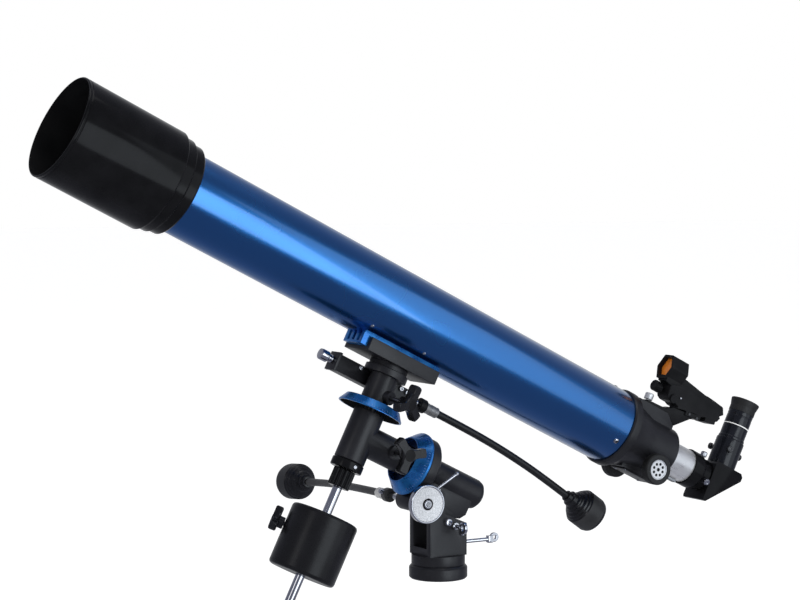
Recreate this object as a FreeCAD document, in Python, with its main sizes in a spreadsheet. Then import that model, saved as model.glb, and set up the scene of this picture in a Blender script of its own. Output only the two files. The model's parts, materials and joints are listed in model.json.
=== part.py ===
import FreeCAD, Part

"""A 90 mm refractor telescope on a small German equatorial head, in millimetres.

World frame: +Z up, the tube points towards -Y and upwards, the origin is the middle of the azimuth
base's underside, where the tripod bolts on. Two more frames carry most of the pieces. The head frame
has its origin where the right-ascension and declination axes cross; its coordinates are x (world X),
up (along the declination axis, towards the tube) and along (along the polar axis, towards the sky).
The tube frame is the head frame lifted to the optical axis.
"""
import math
import os

import Sketcher

Vector = FreeCAD.Vector
doc = FreeCAD.newDocument("Telescope")
sheet = doc.addObject("Spreadsheet::Sheet", "Sizes")

SIZES = {
    # where the axes are
    "latitude": 26.5,
    "crossing_height": 185.0,
    "crossing_forward": 115.0,
    "axis_gap": 163.7,
    # optical tube
    "tube_od": 100.0,
    "tube_wall": 1.6,
    "tube_front": 365.0,
    "tube_rear": 345.0,
    "shield_od": 127.6,
    "shield_wall": 2.2,
    "shield_front": 518.0,
    "shield_rear": 381.0,
    "cell_rear": 353.0,
    "lens_od": 94.0,
    "aperture_dia": 90.0,
    "baffle_front_bore": 76.0,
    "baffle_rear_bore": 60.0,
    # focuser
    "flange_od": 105.6,
    "housing_barrel_od": 72.0,
    "housing_rear": 441.0,
    "drawtube_od": 46.0,
    "drawtube_wall": 2.0,
    "drawtube_front": 320.0,
    "drawtube_rear": 498.0,
    "pinion_along": 407.0,
    "pinion_drop": 31.0,
    "knob_face": 52.0,
    "focus_knob_od": 41.0,
    "collar_od": 50.4,
    "fitting_bore": 31.9,
    "fitting_od": 31.75,
    # star diagonal and eyepiece
    "diagonal_front": 516.0,
    "diagonal_width": 44.0,
    "eyepiece_along": 541.0,
    "socket_od": 39.0,
    "socket_top": 63.0,
    "eyepiece_od": 35.0,
    # declination axis
    "neck_od": 36.0,
    "head_plate_od": 56.0,
    "dec_tube_od": 39.4,
    "dec_shaft_od": 16.0,
    "dec_circle_od": 84.0,
    "dec_worm_up": 75.5,
    "dec_worm_out": 27.0,
    "weight_od": 86.0,
    "weight_length": 80.0,
    "weight_top": 104.0,
    "bar_od": 12.0,
    "bar_end": 240.0,
    # right-ascension axis
    "ra_tube_od": 39.0,
    "ra_shaft_od": 20.0,
    "ra_circle_od": 83.0,
    "wheel_case_od": 78.0,
    "polar_tube_od": 39.0,
    "ra_worm_drop": 42.0,
    "ra_worm_back": 104.0,
    "worm_od": 8.0,
    # fork and base
    "pivot_forward": -18.0,
    "pivot_height": 102.0,
    "pivot_od": 10.0,
    "fork_width": 50.0,
    "cheek_thickness": 8.5,
    "base_od": 74.0,
    "base_height": 18.0,
    "tripod_bolt_od": 10.0,
    # slow-motion cables
    "cable_od": 10.0,
    "cable_knob_od": 49.0,
    "lobed_knob_od": 49.0,
}

for row, (alias, value) in enumerate(SIZES.items(), start=1):
    sheet.set(f"A{row}", alias)
    sheet.set(f"B{row}", str(value))
    sheet.setAlias(f"B{row}", alias)
doc.recompute()


class Size:
    """A length from the sheet: what it measures, and the text that binds a dimension to it."""

    def __init__(self, value, text):
        self.value = value
        self.text = text

    def join(self, other, sign, value):
        return Size(value, f"({self.text} {sign} {text_of(other)})")

    def __add__(self, other):
        return self.join(other, "+", self.value + value_of(other))

    def __sub__(self, other):
        return self.join(other, "-", self.value - value_of(other))

    def __mul__(self, other):
        return self.join(other, "*", self.value * value_of(other))

    def __truediv__(self, other):
        return self.join(other, "/", self.value / value_of(other))

    def __neg__(self):
        return Size(-self.value, f"(0 - {self.text})")


def value_of(number):
    return number.value if isinstance(number, Size) else float(number)


def text_of(number):
    return number.text if isinstance(number, Size) else f"{float(number):.6f}"


class Sizes:
    """Every alias of the sheet as an attribute."""

    def __getattr__(self, alias):
        return Size(float(sheet.get(alias)), f"Sizes.{alias}")


size = Sizes()


# ---- frames -------------------------------------------------------------------------------------

def placement(origin, axis, across):
    """Where a piece goes whose own Z lies along axis and whose own X lies near across."""
    z = Vector(axis).normalize()
    y = z.cross(Vector(across)).normalize()
    x = y.cross(z)
    turn = FreeCAD.Rotation(x, y, z, "ZXY")
    return FreeCAD.Placement(Vector(*[value_of(number) for number in origin]), turn)


TILT = 90.0 - size.latitude.value
HEAD = FreeCAD.Placement(
    Vector(0, -size.crossing_forward.value, size.crossing_height.value),
    FreeCAD.Rotation(Vector(1, 0, 0), TILT),
)
AXES = {
    "x": (Vector(1, 0, 0), Vector(0, 0, -1)),
    "up": (Vector(0, 1, 0), Vector(1, 0, 0)),
    "down": (Vector(0, -1, 0), Vector(1, 0, 0)),
    "along": (Vector(0, 0, 1), Vector(1, 0, 0)),
    "back": (Vector(0, 0, -1), Vector(1, 0, 0)),
    "side": (Vector(-1, 0, 0), Vector(0, 0, 1)),
}


def head(x, up, along, axis="along"):
    """A place in the head frame; axis is a name from AXES or a direction (x, up, along)."""
    if isinstance(axis, str):
        direction, across = AXES[axis]
    else:
        direction = Vector(*axis)
        across = Vector(0, 1, 0) if abs(direction.y) < 0.9 * direction.Length else Vector(1, 0, 0)
    return HEAD.multiply(placement((x, up, along), direction, across))


def tube(x, up, along, axis="along"):
    """A place in the tube frame."""
    return head(x, size.axis_gap.value + value_of(up), along, axis)


def world(x, y, z, axis=(0, 0, 1), across=(1, 0, 0)):
    return placement((x, y, z), Vector(*axis), Vector(*across))


# ---- building blocks ----------------------------------------------------------------------------

def bind(thing, name, number):
    """Sets a dimension, and ties it to the sheet when it comes from there."""
    if isinstance(number, Size):
        thing.setExpression(name, number.text)
    else:
        setattr(thing, name, float(number))


def new_body(label, where):
    body = doc.addObject("PartDesign::Body", label)
    body.Label = label
    body.Placement = where
    return body


def new_sketch(body, role):
    sketch = body.newObject("Sketcher::SketchObject", body.Name + "_sketch")
    plane = [item for item in body.Origin.OriginFeatures if item.Role == role][0]
    sketch.AttachmentSupport = [(plane, "")]
    sketch.MapMode = "FlatFace"
    return sketch


def hold(sketch, item, point, x, y):
    """Fixes one point of a sketch at (x, y)."""
    for kind, number, line in (("DistanceX", x, -2), ("DistanceY", y, -1)):
        if not isinstance(number, Size) and abs(number) < 1e-9:
            sketch.addConstraint(Sketcher.Constraint("PointOnObject", item, point, line))
            continue
        rule = Sketcher.Constraint(kind, -1, 1, item, point, value_of(number))
        index = sketch.addConstraint(rule)
        if isinstance(number, Size):
            sketch.setExpression(f"Constraints[{index}]", number.text)


def bowed(first, last, radius):
    """The arc from first to last, its centre on the left where radius is positive."""
    chord = last - first
    middle = (first + last) * 0.5
    left = Vector(-chord.y, chord.x, 0).normalize()
    rise = math.sqrt(radius * radius - chord.Length ** 2 / 4)
    side = 1.0 if radius > 0 else -1.0
    centre = middle + left * rise * side
    top = centre - left * abs(radius) * side
    return Part.Arc(first, top, last) if radius > 0 else Part.Arc(last, top, first)


def outline(sketch, corners):
    """Draws a closed outline; a corner's third number bows the side that follows it."""
    points = [Vector(value_of(corner[0]), value_of(corner[1]), 0) for corner in corners]
    for index, corner in enumerate(corners):
        first = points[index]
        last = points[(index + 1) % len(points)]
        follower = corners[(index + 1) % len(corners)]
        if len(corner) < 3:
            item = sketch.addGeometry(Part.LineSegment(first, last))
            ends = (1, 2)
        else:
            item = sketch.addGeometry(bowed(first, last, value_of(corner[2])))
            start = sketch.Geometry[item].StartPoint
            ends = (1, 2) if (start - first).Length < (start - last).Length else (2, 1)
        hold(sketch, item, ends[0], corner[0], corner[1])
        hold(sketch, item, ends[1], follower[0], follower[1])


def turned(label, corners, where):
    """A piece turned on its own Z axis from an outline of (radius, height) corners."""
    body = new_body(label, where)
    sketch = new_sketch(body, "XZ_Plane")
    outline(sketch, corners)
    turn = body.newObject("PartDesign::Revolution", label + "_turn")
    turn.Profile = sketch
    turn.ReferenceAxis = (sketch, ["V_Axis"])
    turn.Angle = 360.0
    return body


def milled(label, corners, thickness, where):
    """A plate of even thickness, cut to an outline in its own XY plane."""
    body = new_body(label, where)
    sketch = new_sketch(body, "XY_Plane")
    outline(sketch, corners)
    pad = body.newObject("PartDesign::Pad", label + "_pad")
    pad.Profile = sketch
    bind(pad, "Length", thickness)
    return body


def rod(label, diameter, length, where):
    item = doc.addObject("Part::Cylinder", label)
    bind(item, "Radius", diameter / 2)
    bind(item, "Height", length)
    item.Placement = where
    return item


def ball(label, diameter, where):
    item = doc.addObject("Part::Sphere", label)
    item.Radius = diameter / 2
    item.Placement = where
    return item


def block(label, width, depth, height, where):
    """A box centred on its own Z axis, standing on its own XY plane."""
    item = doc.addObject("Part::Box", label)
    bind(item, "Length", width)
    bind(item, "Width", depth)
    bind(item, "Height", height)
    corner = FreeCAD.Placement(Vector(-value_of(width) / 2, -value_of(depth) / 2, 0), FreeCAD.Rotation())
    item.Placement = where.multiply(corner)
    return item


def fused(label, *items):
    item = doc.addObject("Part::MultiFuse", label)
    item.Label = label
    item.Shapes = list(items)
    item.Refine = True
    return item


def cut(label, base, *tools):
    """The base less its tools."""
    tool = tools[0] if len(tools) == 1 else fused(label + "_tools", *tools)
    item = doc.addObject("Part::Cut", label)
    item.Label = label
    item.Base = base
    item.Tool = tool
    item.Refine = True
    return item


def group(label, *items):
    """Separate solids that share one node."""
    item = doc.addObject("Part::Compound", label)
    item.Label = label
    item.Links = list(items)
    return item


def circle_points(count, radius, start=0.0):
    """Points evenly spaced on a circle, as (x, y)."""
    for index in range(count):
        turn = math.radians(start + 360.0 * index / count)
        yield radius * math.cos(turn), radius * math.sin(turn)


def ring(inner, outer, low, high):
    return [(inner, low), (outer, low), (outer, high), (inner, high)]


# ---- optical tube -------------------------------------------------------------------------------

def make_tube():
    outer = size.tube_od / 2
    turned("main_tube", ring(outer - size.tube_wall, outer, 0, size.tube_front + size.tube_rear),
           tube(0, 0, -size.tube_rear.value))
    turned("dew_shield",
           ring(size.shield_od / 2 - size.shield_wall, size.shield_od / 2, 0,
                size.shield_front - size.shield_rear),
           tube(0, 0, size.shield_rear))


def make_cell():
    """A stepped black ring over the tube's front end, which holds the doublet and the shield."""
    tube_radius = size.tube_od / 2
    seat = size.lens_od / 2 + 0.1
    spigot = size.shield_od / 2 - size.shield_wall - 0.15
    corners = [
        (tube_radius + 0.1, 0), (tube_radius + 5.5, 0), (tube_radius + 7, 1.5),
        (tube_radius + 7, 10), (tube_radius + 8.2, 11), (tube_radius + 8.2, 15), (tube_radius + 10, 16.5),
        (tube_radius + 10, 27.8), (spigot, 27.8), (spigot, 40), (seat, 40), (seat, 20),
        (size.aperture_dia / 2, 20), (size.aperture_dia / 2, 12.2), (tube_radius + 0.1, 12.2),
    ]
    turned("lens_cell", corners, tube(0, 0, size.cell_rear))


def sag(radius, rim):
    """How far a spherical surface rises from its rim to its middle."""
    return radius - math.sqrt(radius * radius - rim * rim)


def make_lenses():
    """The doublet: a flint with a flat back and a hollow front, and a crown that nests in it."""
    rim = size.lens_od.value / 2
    shoulder = size.cell_rear + 20
    inner, front = 335.0, 600.0
    flint = [(0, 0), (rim, 0), (rim, 5.5 + sag(inner, rim), -inner), (0, 5.5)]
    crown = [(0, 6.0, inner), (rim, 6.0 + sag(inner, rim)), (rim, 16.0 - sag(front, rim), front), (0, 16.0)]
    group("objective_lenses", turned("flint_lens", flint, tube(0, 0, shoulder)),
          turned("crown_lens", crown, tube(0, 0, shoulder)))


def make_baffles():
    wall = size.tube_od / 2 - size.tube_wall - 0.05
    front = turned("baffle_front", ring(size.baffle_front_bore / 2, wall, 0, 2), tube(0, 0, 130))
    rear = turned("baffle_rear", ring(size.baffle_rear_bore / 2, wall, 0, 2), tube(0, 0, -150))
    group("tube_baffles", front, rear)


FOOT_LENGTH = 118.0
FOOT_FRONT = 62.0
SADDLE_FRONT = 53.0
SADDLE_LENGTH = 107.0
SADDLE_FLOOR = 97.0
SADDLE_TOP = 114.0


def make_foot():
    """The blue foot under the tube: a ribbed block, hollowed to the tube above it."""
    low = SADDLE_FLOOR + 5.0
    lift = size.axis_gap.value - low
    corners = [(-22, 0), (22, 0), (22, 14), (27, 24), (-27, 24), (-22, 14)]
    solid = milled("foot_block", corners, FOOT_LENGTH, head(0, low, FOOT_FRONT - FOOT_LENGTH))
    hollow = rod("foot_hollow", size.tube_od + 0.1, FOOT_LENGTH + 2,
                 head(0, low + lift, FOOT_FRONT - FOOT_LENGTH - 1))
    slots = [
        block(f"foot_slot_{index}", 6, 11, 20, head(x, low + 3 + 5.5, FOOT_FRONT - 18))
        for index, x in enumerate((-12.0, 0.0, 12.0))
    ]
    cut("tube_foot", solid, hollow, *slots)


def screw_head(label, diameter, height, where):
    """A low domed screw head that stands on its own XY plane."""
    radius = diameter / 2
    corners = [(0, 0), (radius, 0), (radius, height * 0.45), (radius * 0.62, height), (0, height)]
    return turned(label, corners, where)


def make_tube_screws():
    """Focuser screws round the tube's rear end, and the four rivets beside the foot."""
    heads = []
    lift = size.tube_od.value / 2 + 0.02
    for x, up in circle_points(3, lift, -27.0):
        heads.append(screw_head(f"focuser_screw_{len(heads)}", 7.5, 2.4,
                                tube(x, up, -331, (x, up, 0))))
    for along in (61.0, -21.0):
        for side in (-1.0, 1.0):
            x = side * 0.64 * lift
            up = -math.sqrt(1 - 0.64 ** 2) * lift
            heads.append(screw_head(f"foot_rivet_{len(heads)}", 5.0, 1.4,
                                    tube(x, up, along, (x, up, 0))))
    group("tube_screws", *heads)


# ---- focuser ------------------------------------------------------------------------------------

def make_housing():
    """Flange, cone and barrel in one moulding, with the pinion box below and the finder seat above."""
    flange = size.flange_od / 2
    barrel = size.housing_barrel_od / 2
    shell = turned("housing_shell", [
        (0, 0), (barrel - 3, 0), (barrel, 3), (barrel, 44), (flange - 6, 84), (flange, 86),
        (flange, 96), (flange - 1.5, 98), (0, 98),
    ], tube(0, 0, -size.housing_rear.value))
    pinion_box = block("pinion_box", 34, 34, 62, tube(0, -26, -436))
    seat = milled("finder_seat", [(-362, 30), (-362, 50), (-414, 50), (-430, 38), (-430, 30)], 30,
                  tube(15, 0, 0, "side"))
    bore = rod("housing_bore", size.drawtube_od + 0.12, 60, tube(0, 0, -442))
    throat = turned("housing_throat", [(0, 0), (23.1, 0), (46, 44), (46, 62), (0, 62)],
                    tube(0, 0, -402))
    tube_socket = rod("housing_socket", size.tube_od + 0.1, 12, tube(0, 0, -352))
    keyway = block("housing_keyway", 10.6, 12, 92, tube(0, -27.5, -443))
    shaft_bore = rod("housing_shaft_bore", 5.2, 60, tube(-30, -size.pinion_drop.value, -407, "x"))
    pinion_room = rod("housing_pinion_room", 13, 14, tube(-7, -size.pinion_drop.value, -407, "x"))
    body = fused("housing_body", shell, pinion_box, seat)
    cut("focuser_housing", body, bore, throat, tube_socket, keyway, shaft_bore, pinion_room)


def make_drawtube():
    outer = size.drawtube_od / 2
    turned("drawtube",
           ring(outer - size.drawtube_wall, outer, 0, size.drawtube_rear - size.drawtube_front),
           tube(0, 0, -size.drawtube_rear.value))


def make_rack():
    """A toothed bar under the drawtube: a plate with a row of notches cut along its foot."""
    length = 154.0
    pitch = 3.5
    bar = block("rack_bar", 8, 3.6, length, tube(0, -24.9, -476))
    notches = [
        block(f"rack_notch_{index}", 9, 1.6, 1.7, tube(0, -26.5, -474 + pitch * index))
        for index in range(int(length / pitch))
    ]
    cut("focus_rack", bar, group("rack_notches", *notches))


def make_pinion():
    drop = -size.pinion_drop.value
    along = -size.pinion_along.value
    shaft = rod("pinion_rod", 5.0, 84, tube(-42, drop, along, "x"))
    gear = rod("pinion_gear", 6.6, 10, tube(-5, drop, along, "x"))
    fused("pinion_shaft", shaft, gear)
    milled("pinion_cover", [(-15, 0), (15, 0), (15, 52), (-15, 52)], 2.0, tube(0, -43.05, -433, "down"))


def make_focus_knobs():
    """Two stepped rubber-rimmed knobs, one on each end of the pinion shaft."""
    radius = size.focus_knob_od / 2
    corners = [
        (2.55, 0), (9, 0), (9, 8), (radius - 2, 8), (radius, 10), (radius, 18),
        (radius - 2.5, 20.5), (13.5, 20.5), (13.5, 19), (0, 19), (0, 10.5), (2.55, 10.5),
    ]
    drop = -size.pinion_drop.value
    along = -size.pinion_along.value
    inner = size.knob_face.value - 20.5
    turned("focus_knob_near", corners, tube(inner, drop, along, "x"))
    turned("focus_knob_far", corners, tube(-inner, drop, along, "side"))


def thumbscrew(label, where, shank, head_length=7.0, head_od=9.0):
    """A small knurled thumbscrew; its head stands outside its own XY plane."""
    corners = [
        (0, -shank), (1.5, -shank), (1.5, 0), (2.6, 0), (2.6, 2), (head_od / 2, 2.6),
        (head_od / 2, 2 + head_length - 0.8), (head_od / 2 - 0.8, 2 + head_length),
        (0, 2 + head_length),
    ]
    return turned(label, corners, where)


def make_collar():
    """The black ring on the drawtube's end, which takes the diagonal's nose."""
    outer = size.collar_od / 2
    corners = [
        (size.fitting_bore / 2, 0), (20.5, 0), (22, 2), (22, 13), (outer, 17), (outer, 33),
        (size.drawtube_od / 2 + 0.05, 33), (size.drawtube_od / 2 + 0.05, 16.2),
        (size.fitting_bore / 2, 16.2),
    ]
    rear = size.diagonal_front.value - 0.6
    base = turned("collar_ring", corners, tube(0, 0, -rear))
    holes = []
    for index, direction in enumerate(COLLAR_SCREWS):
        place = tube(0, 0, COLLAR_SCREW_ALONG, direction)
        holes.append(rod(f"collar_hole_{index}", 3.2, 30, place))
    cut("drawtube_collar", base, *holes)
    for name, direction in zip(("top", "side"), COLLAR_SCREWS):
        x, up = direction[0] * 22.2, direction[1] * 22.2
        thumbscrew(f"collar_thumbscrew_{name}",
                   tube(x, up, COLLAR_SCREW_ALONG, direction), 6.0)


COLLAR_SCREWS = ((0.0, 1.0, 0.0), (0.94, -0.34, 0.0))
COLLAR_SCREW_ALONG = -507.0


# ---- star diagonal and eyepiece -----------------------------------------------------------------

def make_diagonal():
    """A right-angle shell with its nose in the collar and its socket pointing up."""
    front = -size.diagonal_front.value
    centre = -size.eyepiece_along.value
    half = size.diagonal_width.value / 2
    light = 27.0
    solid = milled("diagonal_solid", [
        (front, -30), (front, 20), (front - 4, DIAGONAL_TOP), (front - 46, DIAGONAL_TOP), (front - 50, 20),
        (front - 50, 14), (front - 5, -33), (front - 1, -33),
    ], size.diagonal_width, tube(half, 0, 0, "side"))
    light_in = rod("diagonal_light_in", light, 60, tube(0, 0, centre))
    light_up = rod("diagonal_light_up", light, 60, tube(0, 0, centre, "up"))
    cavity = milled("diagonal_cavity", [(-13.5, -13.5), (13.5, -13.5), (13.5, 13.5), (-13.5, 13.5)], 4,
                    tube(0, -2.6, centre - 2.6, (0, 1, 1)))
    shell = cut("diagonal_shell", solid, light_in, light_up, cavity)
    nose = turned("diagonal_nose", ring(light / 2, size.fitting_od / 2, 0, 30), tube(0, 0, front))
    radius = size.socket_od / 2
    wall = size.fitting_bore / 2
    length = size.socket_top - DIAGONAL_TOP
    socket = turned("diagonal_socket_tube", [
        (light / 2, 0), (radius, 0), (radius, length - 1), (radius - 1, length), (wall, length), (wall, 3),
        (light / 2, 3),
    ], tube(0, DIAGONAL_TOP, centre, "up"))
    holes = [
        rod(f"socket_hole_{index}", 3.2, 30, tube(0, SOCKET_SCREW_UP, centre, direction))
        for index, direction in enumerate(socket_directions())
    ]
    group("diagonal_housing", shell, nose, cut("diagonal_socket", socket, *holes))
    milled("diagonal_mirror", [(-13.3, -13.3), (13.3, -13.3), (13.3, 13.3), (-13.3, 13.3)], 3.6,
           tube(0, -2.5, centre - 2.5, (0, 1, 1)))


DIAGONAL_TOP = 24.0
SOCKET_SCREW_UP = 47.0


def socket_directions():
    """Three ways out of the socket, a third of a turn apart, the first towards +X and the sky."""
    for x, along in circle_points(3, 1.0, 29.0):
        yield (x, 0.0, along)


def make_socket_screws():
    centre = -size.eyepiece_along.value
    reach = size.socket_od.value / 2 + 0.2
    for name, direction in zip(("near", "left", "right"), socket_directions()):
        thumbscrew(f"socket_thumbscrew_{name}",
                   tube(direction[0] * reach, SOCKET_SCREW_UP, centre + direction[2] * reach, direction),
                   1.8, 5.0, 9.0)


def make_eyepiece():
    centre = -size.eyepiece_along.value
    radius = size.eyepiece_od / 2
    low = size.socket_top.value + 0.1
    body = [
        (13.5, -28), (size.fitting_od / 2, -28), (size.fitting_od / 2, 0), (radius + 0.8, 0),
        (radius + 0.8, 3), (radius, 4), (radius, 40), (15.0, 40), (15.0, 30), (13.5, 30),
    ]
    turned("eyepiece_body", body, tube(0, low, centre, "up"))
    rim = 13.4
    edge = 3.0
    field = turned("field_lens", [(0, 0), (rim, 0), (rim, edge, 40.0), (0, edge + sag(40.0, rim))],
                   tube(0, low + 6, centre, "up"))
    eye = turned("eye_lens", [(0, 0), (rim, 0), (rim, edge, 32.0), (0, edge + sag(32.0, rim))],
                 tube(0, low + 22, centre, "up"))
    group("eyepiece_lenses", field, eye)
    cup = [
        (10.5, 0), (14.9, 0), (14.9, 4), (radius + 0.4, 4), (radius + 0.4, 12), (20.0, 21.5),
        (18.6, 21.5), (16.2, 12), (15.8, 7), (10.5, 3),
    ]
    turned("eyecup", cup, tube(0, low + 36, centre, "up"))


# ---- red-dot finder -----------------------------------------------------------------------------

FINDER_X = 5.0
FINDER_WIDTH = 26.0


def finder_plate(label, corners, width):
    """A plate across the finder, drawn from the side."""
    return milled(label, corners, width, tube(FINDER_X + width / 2, 0, 0, "side"))


def make_finder():
    """An arm from the focuser, the sight's body with its window hood, and the glass in the hood."""
    arm = finder_plate("finder_arm", [
        (-376, 50.1), (-376, 53), (-408, 54.5), (-421, 61), (-447, 63.2), (-455, 62.7), (-455, 60),
        (-430.6, 38.6), (-414.1, 50.1),
    ], 20)
    hole = rod("finder_arm_hole", 3.4, 20, tube(0, 45, -386, "up"))
    cut("finder_bracket", arm, hole)
    thumbscrew("finder_thumbscrew", tube(0, 54.2, -386, "up"), 3.0, 9.0, 12.0)
    base = finder_plate("finder_base", [
        (-402, 68), (-408, 64), (-446, 63.4), (-460, 62.6), (-478, 66), (-492, 69), (-496, 76),
        (-488, 84), (-418, 93.3), (-401, 86),
    ], FINDER_WIDTH)
    ridge = finder_plate("finder_ridge", [
        (-405, 80), (-492, 71), (-506, 86), (-499, 95), (-460, 98), (-420, 104), (-405, 96),
    ], 14)
    hood = milled("finder_hood", hexagon(17, 17), 29, tube(FINDER_X - 2, 107, -419))
    window = milled("finder_window_hole", hexagon(13.5, 13.5), 35, tube(FINDER_X - 2, 107, -422))
    seat = rod("finder_knob_hole", 4.2, 12, tube(-2, 78.7, -408))
    cut("finder_body", fused("finder_solid", base, ridge, hood), window, seat)
    milled("finder_lens", hexagon(13.3, 13.3), 2.0, tube(FINDER_X - 2, 107, -405))
    turned("finder_knob", [(0, 0), (2, 0), (2, 8), (7.5, 8), (7.5, 19), (6.5, 20), (0, 20)],
           tube(-2, 78.7, -407))


def hexagon(half_width, half_height):
    """A hexagon standing on a flat foot, wider at its waist."""
    waist = half_width
    flat = half_width * 0.55
    return [
        (-flat, -half_height), (flat, -half_height), (waist, 0), (flat, half_height),
        (-flat, half_height), (-waist, 0),
    ]


# ---- declination axis ---------------------------------------------------------------------------

def make_saddle():
    """An open channel that the tube's foot is clamped in."""
    wall = 8.0
    corners = [
        (-30, 0), (30, 0), (30, 17), (30 - wall + 0.7, 17), (22.3, 4.9), (-22.3, 4.9),
        (-30 + wall - 0.7, 17), (-30, 17),
    ]
    milled("saddle", corners, SADDLE_LENGTH, head(0, SADDLE_FLOOR, SADDLE_FRONT - SADDLE_LENGTH))


def make_dec_head():
    """Plate, neck and shaft in one: everything that turns with the tube."""
    neck = size.neck_od / 2
    plate = size.head_plate_od / 2
    shaft = size.dec_shaft_od / 2
    corners = [
        (0, -50), (shaft, -50), (shaft, 46.6), (neck, 46.6), (neck, 82), (plate, 82), (plate, 90),
        (plate - 3, 91), (plate - 3, 96.9), (0, 96.9),
    ]
    base = turned("dec_head_solid", corners, head(0, 0, 0, "up"))
    lock = head(0, DEC_KNOB_UP, 0, DEC_KNOB_DIRECTION)
    boss = rod("dec_lock_boss", 17, 24, lock)
    hole = rod("dec_lock_hole", 6.4, 40, head(DEC_KNOB_DIRECTION[0] * 12, DEC_KNOB_UP,
                                              DEC_KNOB_DIRECTION[2] * 12, DEC_KNOB_DIRECTION))
    cut("dec_head", fused("dec_head_body", base, boss), hole)


DEC_KNOB_UP = 57.5
DEC_KNOB_DIRECTION = (0.94, 0.0, -0.34)


def lobed_knob(label, where, stem, thickness=12.0, outer=size.lobed_knob_od / 2, first=90.0):
    """A three-lobed clamp knob on a screw: its own Z points outwards, from the screw's inner end."""
    hub = rod(label + "_hub", outer * 1.06, thickness, where.multiply(lifted(stem)))
    lobes = []
    for angle in (first, first + 120, first + 240):
        turn = FreeCAD.Placement(Vector(0, 0, stem), FreeCAD.Rotation(Vector(0, 0, 1), angle))
        arm = [(5, -8.5), (outer - 3, -6.5), (outer, -3.5), (outer, 3.5), (outer - 3, 6.5), (5, 8.5)]
        lobes.append(milled(f"{label}_lobe_{len(lobes)}", arm, thickness, where.multiply(turn)))
    boss = rod(label + "_boss", 15, 7, where.multiply(lifted(stem - 6.5)))
    screw = rod(label + "_screw", 6.0, stem + 2, where)
    return fused(label, hub, boss, screw, *lobes)


def lifted(height):
    return FreeCAD.Placement(Vector(0, 0, height), FreeCAD.Rotation())


def make_dec_knob():
    x, up, along = DEC_KNOB_DIRECTION[0] * 14, DEC_KNOB_UP, DEC_KNOB_DIRECTION[2] * 14
    lobed_knob("dec_lock_knob", head(x, up, along, DEC_KNOB_DIRECTION), 34.0)


def make_dec_circle():
    """A shallow cone, open below, that can be slipped round to set it."""
    radius = size.dec_circle_od / 2
    bore = size.dec_shaft_od / 2 + 0.4
    corners = [
        (bore, 8.5), (radius - 8, 8.5), (radius - 2.4, 0), (radius, 0), (radius - 0.4, 1.6),
        (radius - 6.4, 11.5), (bore, 11.5),
    ]
    turned("dec_circle", corners, head(0, 34.6, 0, "up"))


def make_dec_worm():
    out = -size.dec_worm_out.value
    up = size.dec_worm_up.value
    case = milled("dec_worm_case", [
        (62, -12), (62, 9), (-50, 9), (-66, 9), (-66, -9), (-40, -9), (-24, -12),
    ], 22, head(out + 11, up, 0, "side"))
    end_plate = block("dec_worm_end_plate", 24, 24, 4, head(out, up - 1, 58))
    bore = rod("dec_worm_bore", size.worm_od + 0.6, 150, head(out, up, -80))
    neck_room = rod("dec_worm_neck_room", size.neck_od + 0.2, 21.9, head(0, 60, 0, "up"))
    gap = rod("dec_worm_plate_room", size.head_plate_od + 0.2, 9, head(0, 81.9, 0, "up"))
    cut("dec_worm_housing", fused("dec_worm_solid", case, end_plate), bore, neck_room, gap)
    shaft = rod("dec_worm_rod", size.worm_od, 158, head(out, up, -80))
    tip = rod("dec_worm_tip", 15, 12, head(out, up, 70))
    flat = block("dec_worm_flat", 20, 6, 14, head(out, up + 9.2, 69))
    collar = rod("dec_worm_collar", 10.5, 6.5, head(out, up, 63.2))
    cut("dec_worm_shaft", fused("dec_worm_shaft_body", shaft, tip, collar), flat)


def cable_clamp(label, where):
    """The clamp on the worm's end and the ferrule that the cable is crimped in; Z runs to the cable."""
    corners = [
        (size.worm_od / 2 + 0.1, 0), (8.5, 0), (9, 0.6), (9, 9.4), (8.5, 10), (7, 10), (7, 30),
        (size.cable_od / 2 + 0.1, 30), (size.cable_od / 2 + 0.1, 14), (0, 14), (0, 12),
        (size.worm_od / 2 + 0.1, 12),
    ]
    base = turned(label + "_sleeve", corners, where)
    turn = FreeCAD.Placement(Vector(0, 0, 5), FreeCAD.Rotation(Vector(0, 1, 0), -90))
    screw = thumbscrew(label + "_screw", where.multiply(turn).multiply(lifted(9)), 4.0, 4.0, 7.0)
    return fused(label, base, screw)


def cable_knob(label, where):
    """A round knurled knob with a stepped boss that the cable enters; Z points away from the cable."""
    outer = size.cable_knob_od / 2
    corners = [
        (0, 0), (7.5, 0), (7.5, 6), (10.5, 7), (10.5, 13), (14, 15), (outer - 2.5, 25), (outer, 28),
        (outer, 50), (outer - 1.5, 54.5), (outer - 7, 58), (0, 58),
    ]
    return turned(label, corners, where)


DEC_CABLE = [
    (-27.0, 75.5, -103.0), (-27.2, 75.3, -152.0), (-27.6, 73.9, -200.0), (-28.2, 70.6, -248.0),
    (-29.0, 65.4, -296.0), (-29.8, 58.6, -342.0),
]
RA_CABLE = [
    (-77.0, -42.0, -104.0), (-126.0, -42.3, -104.3), (-176.0, -43.6, -105.1), (-226.0, -46.1, -106.7),
    (-274.0, -49.9, -109.2),
]


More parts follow.
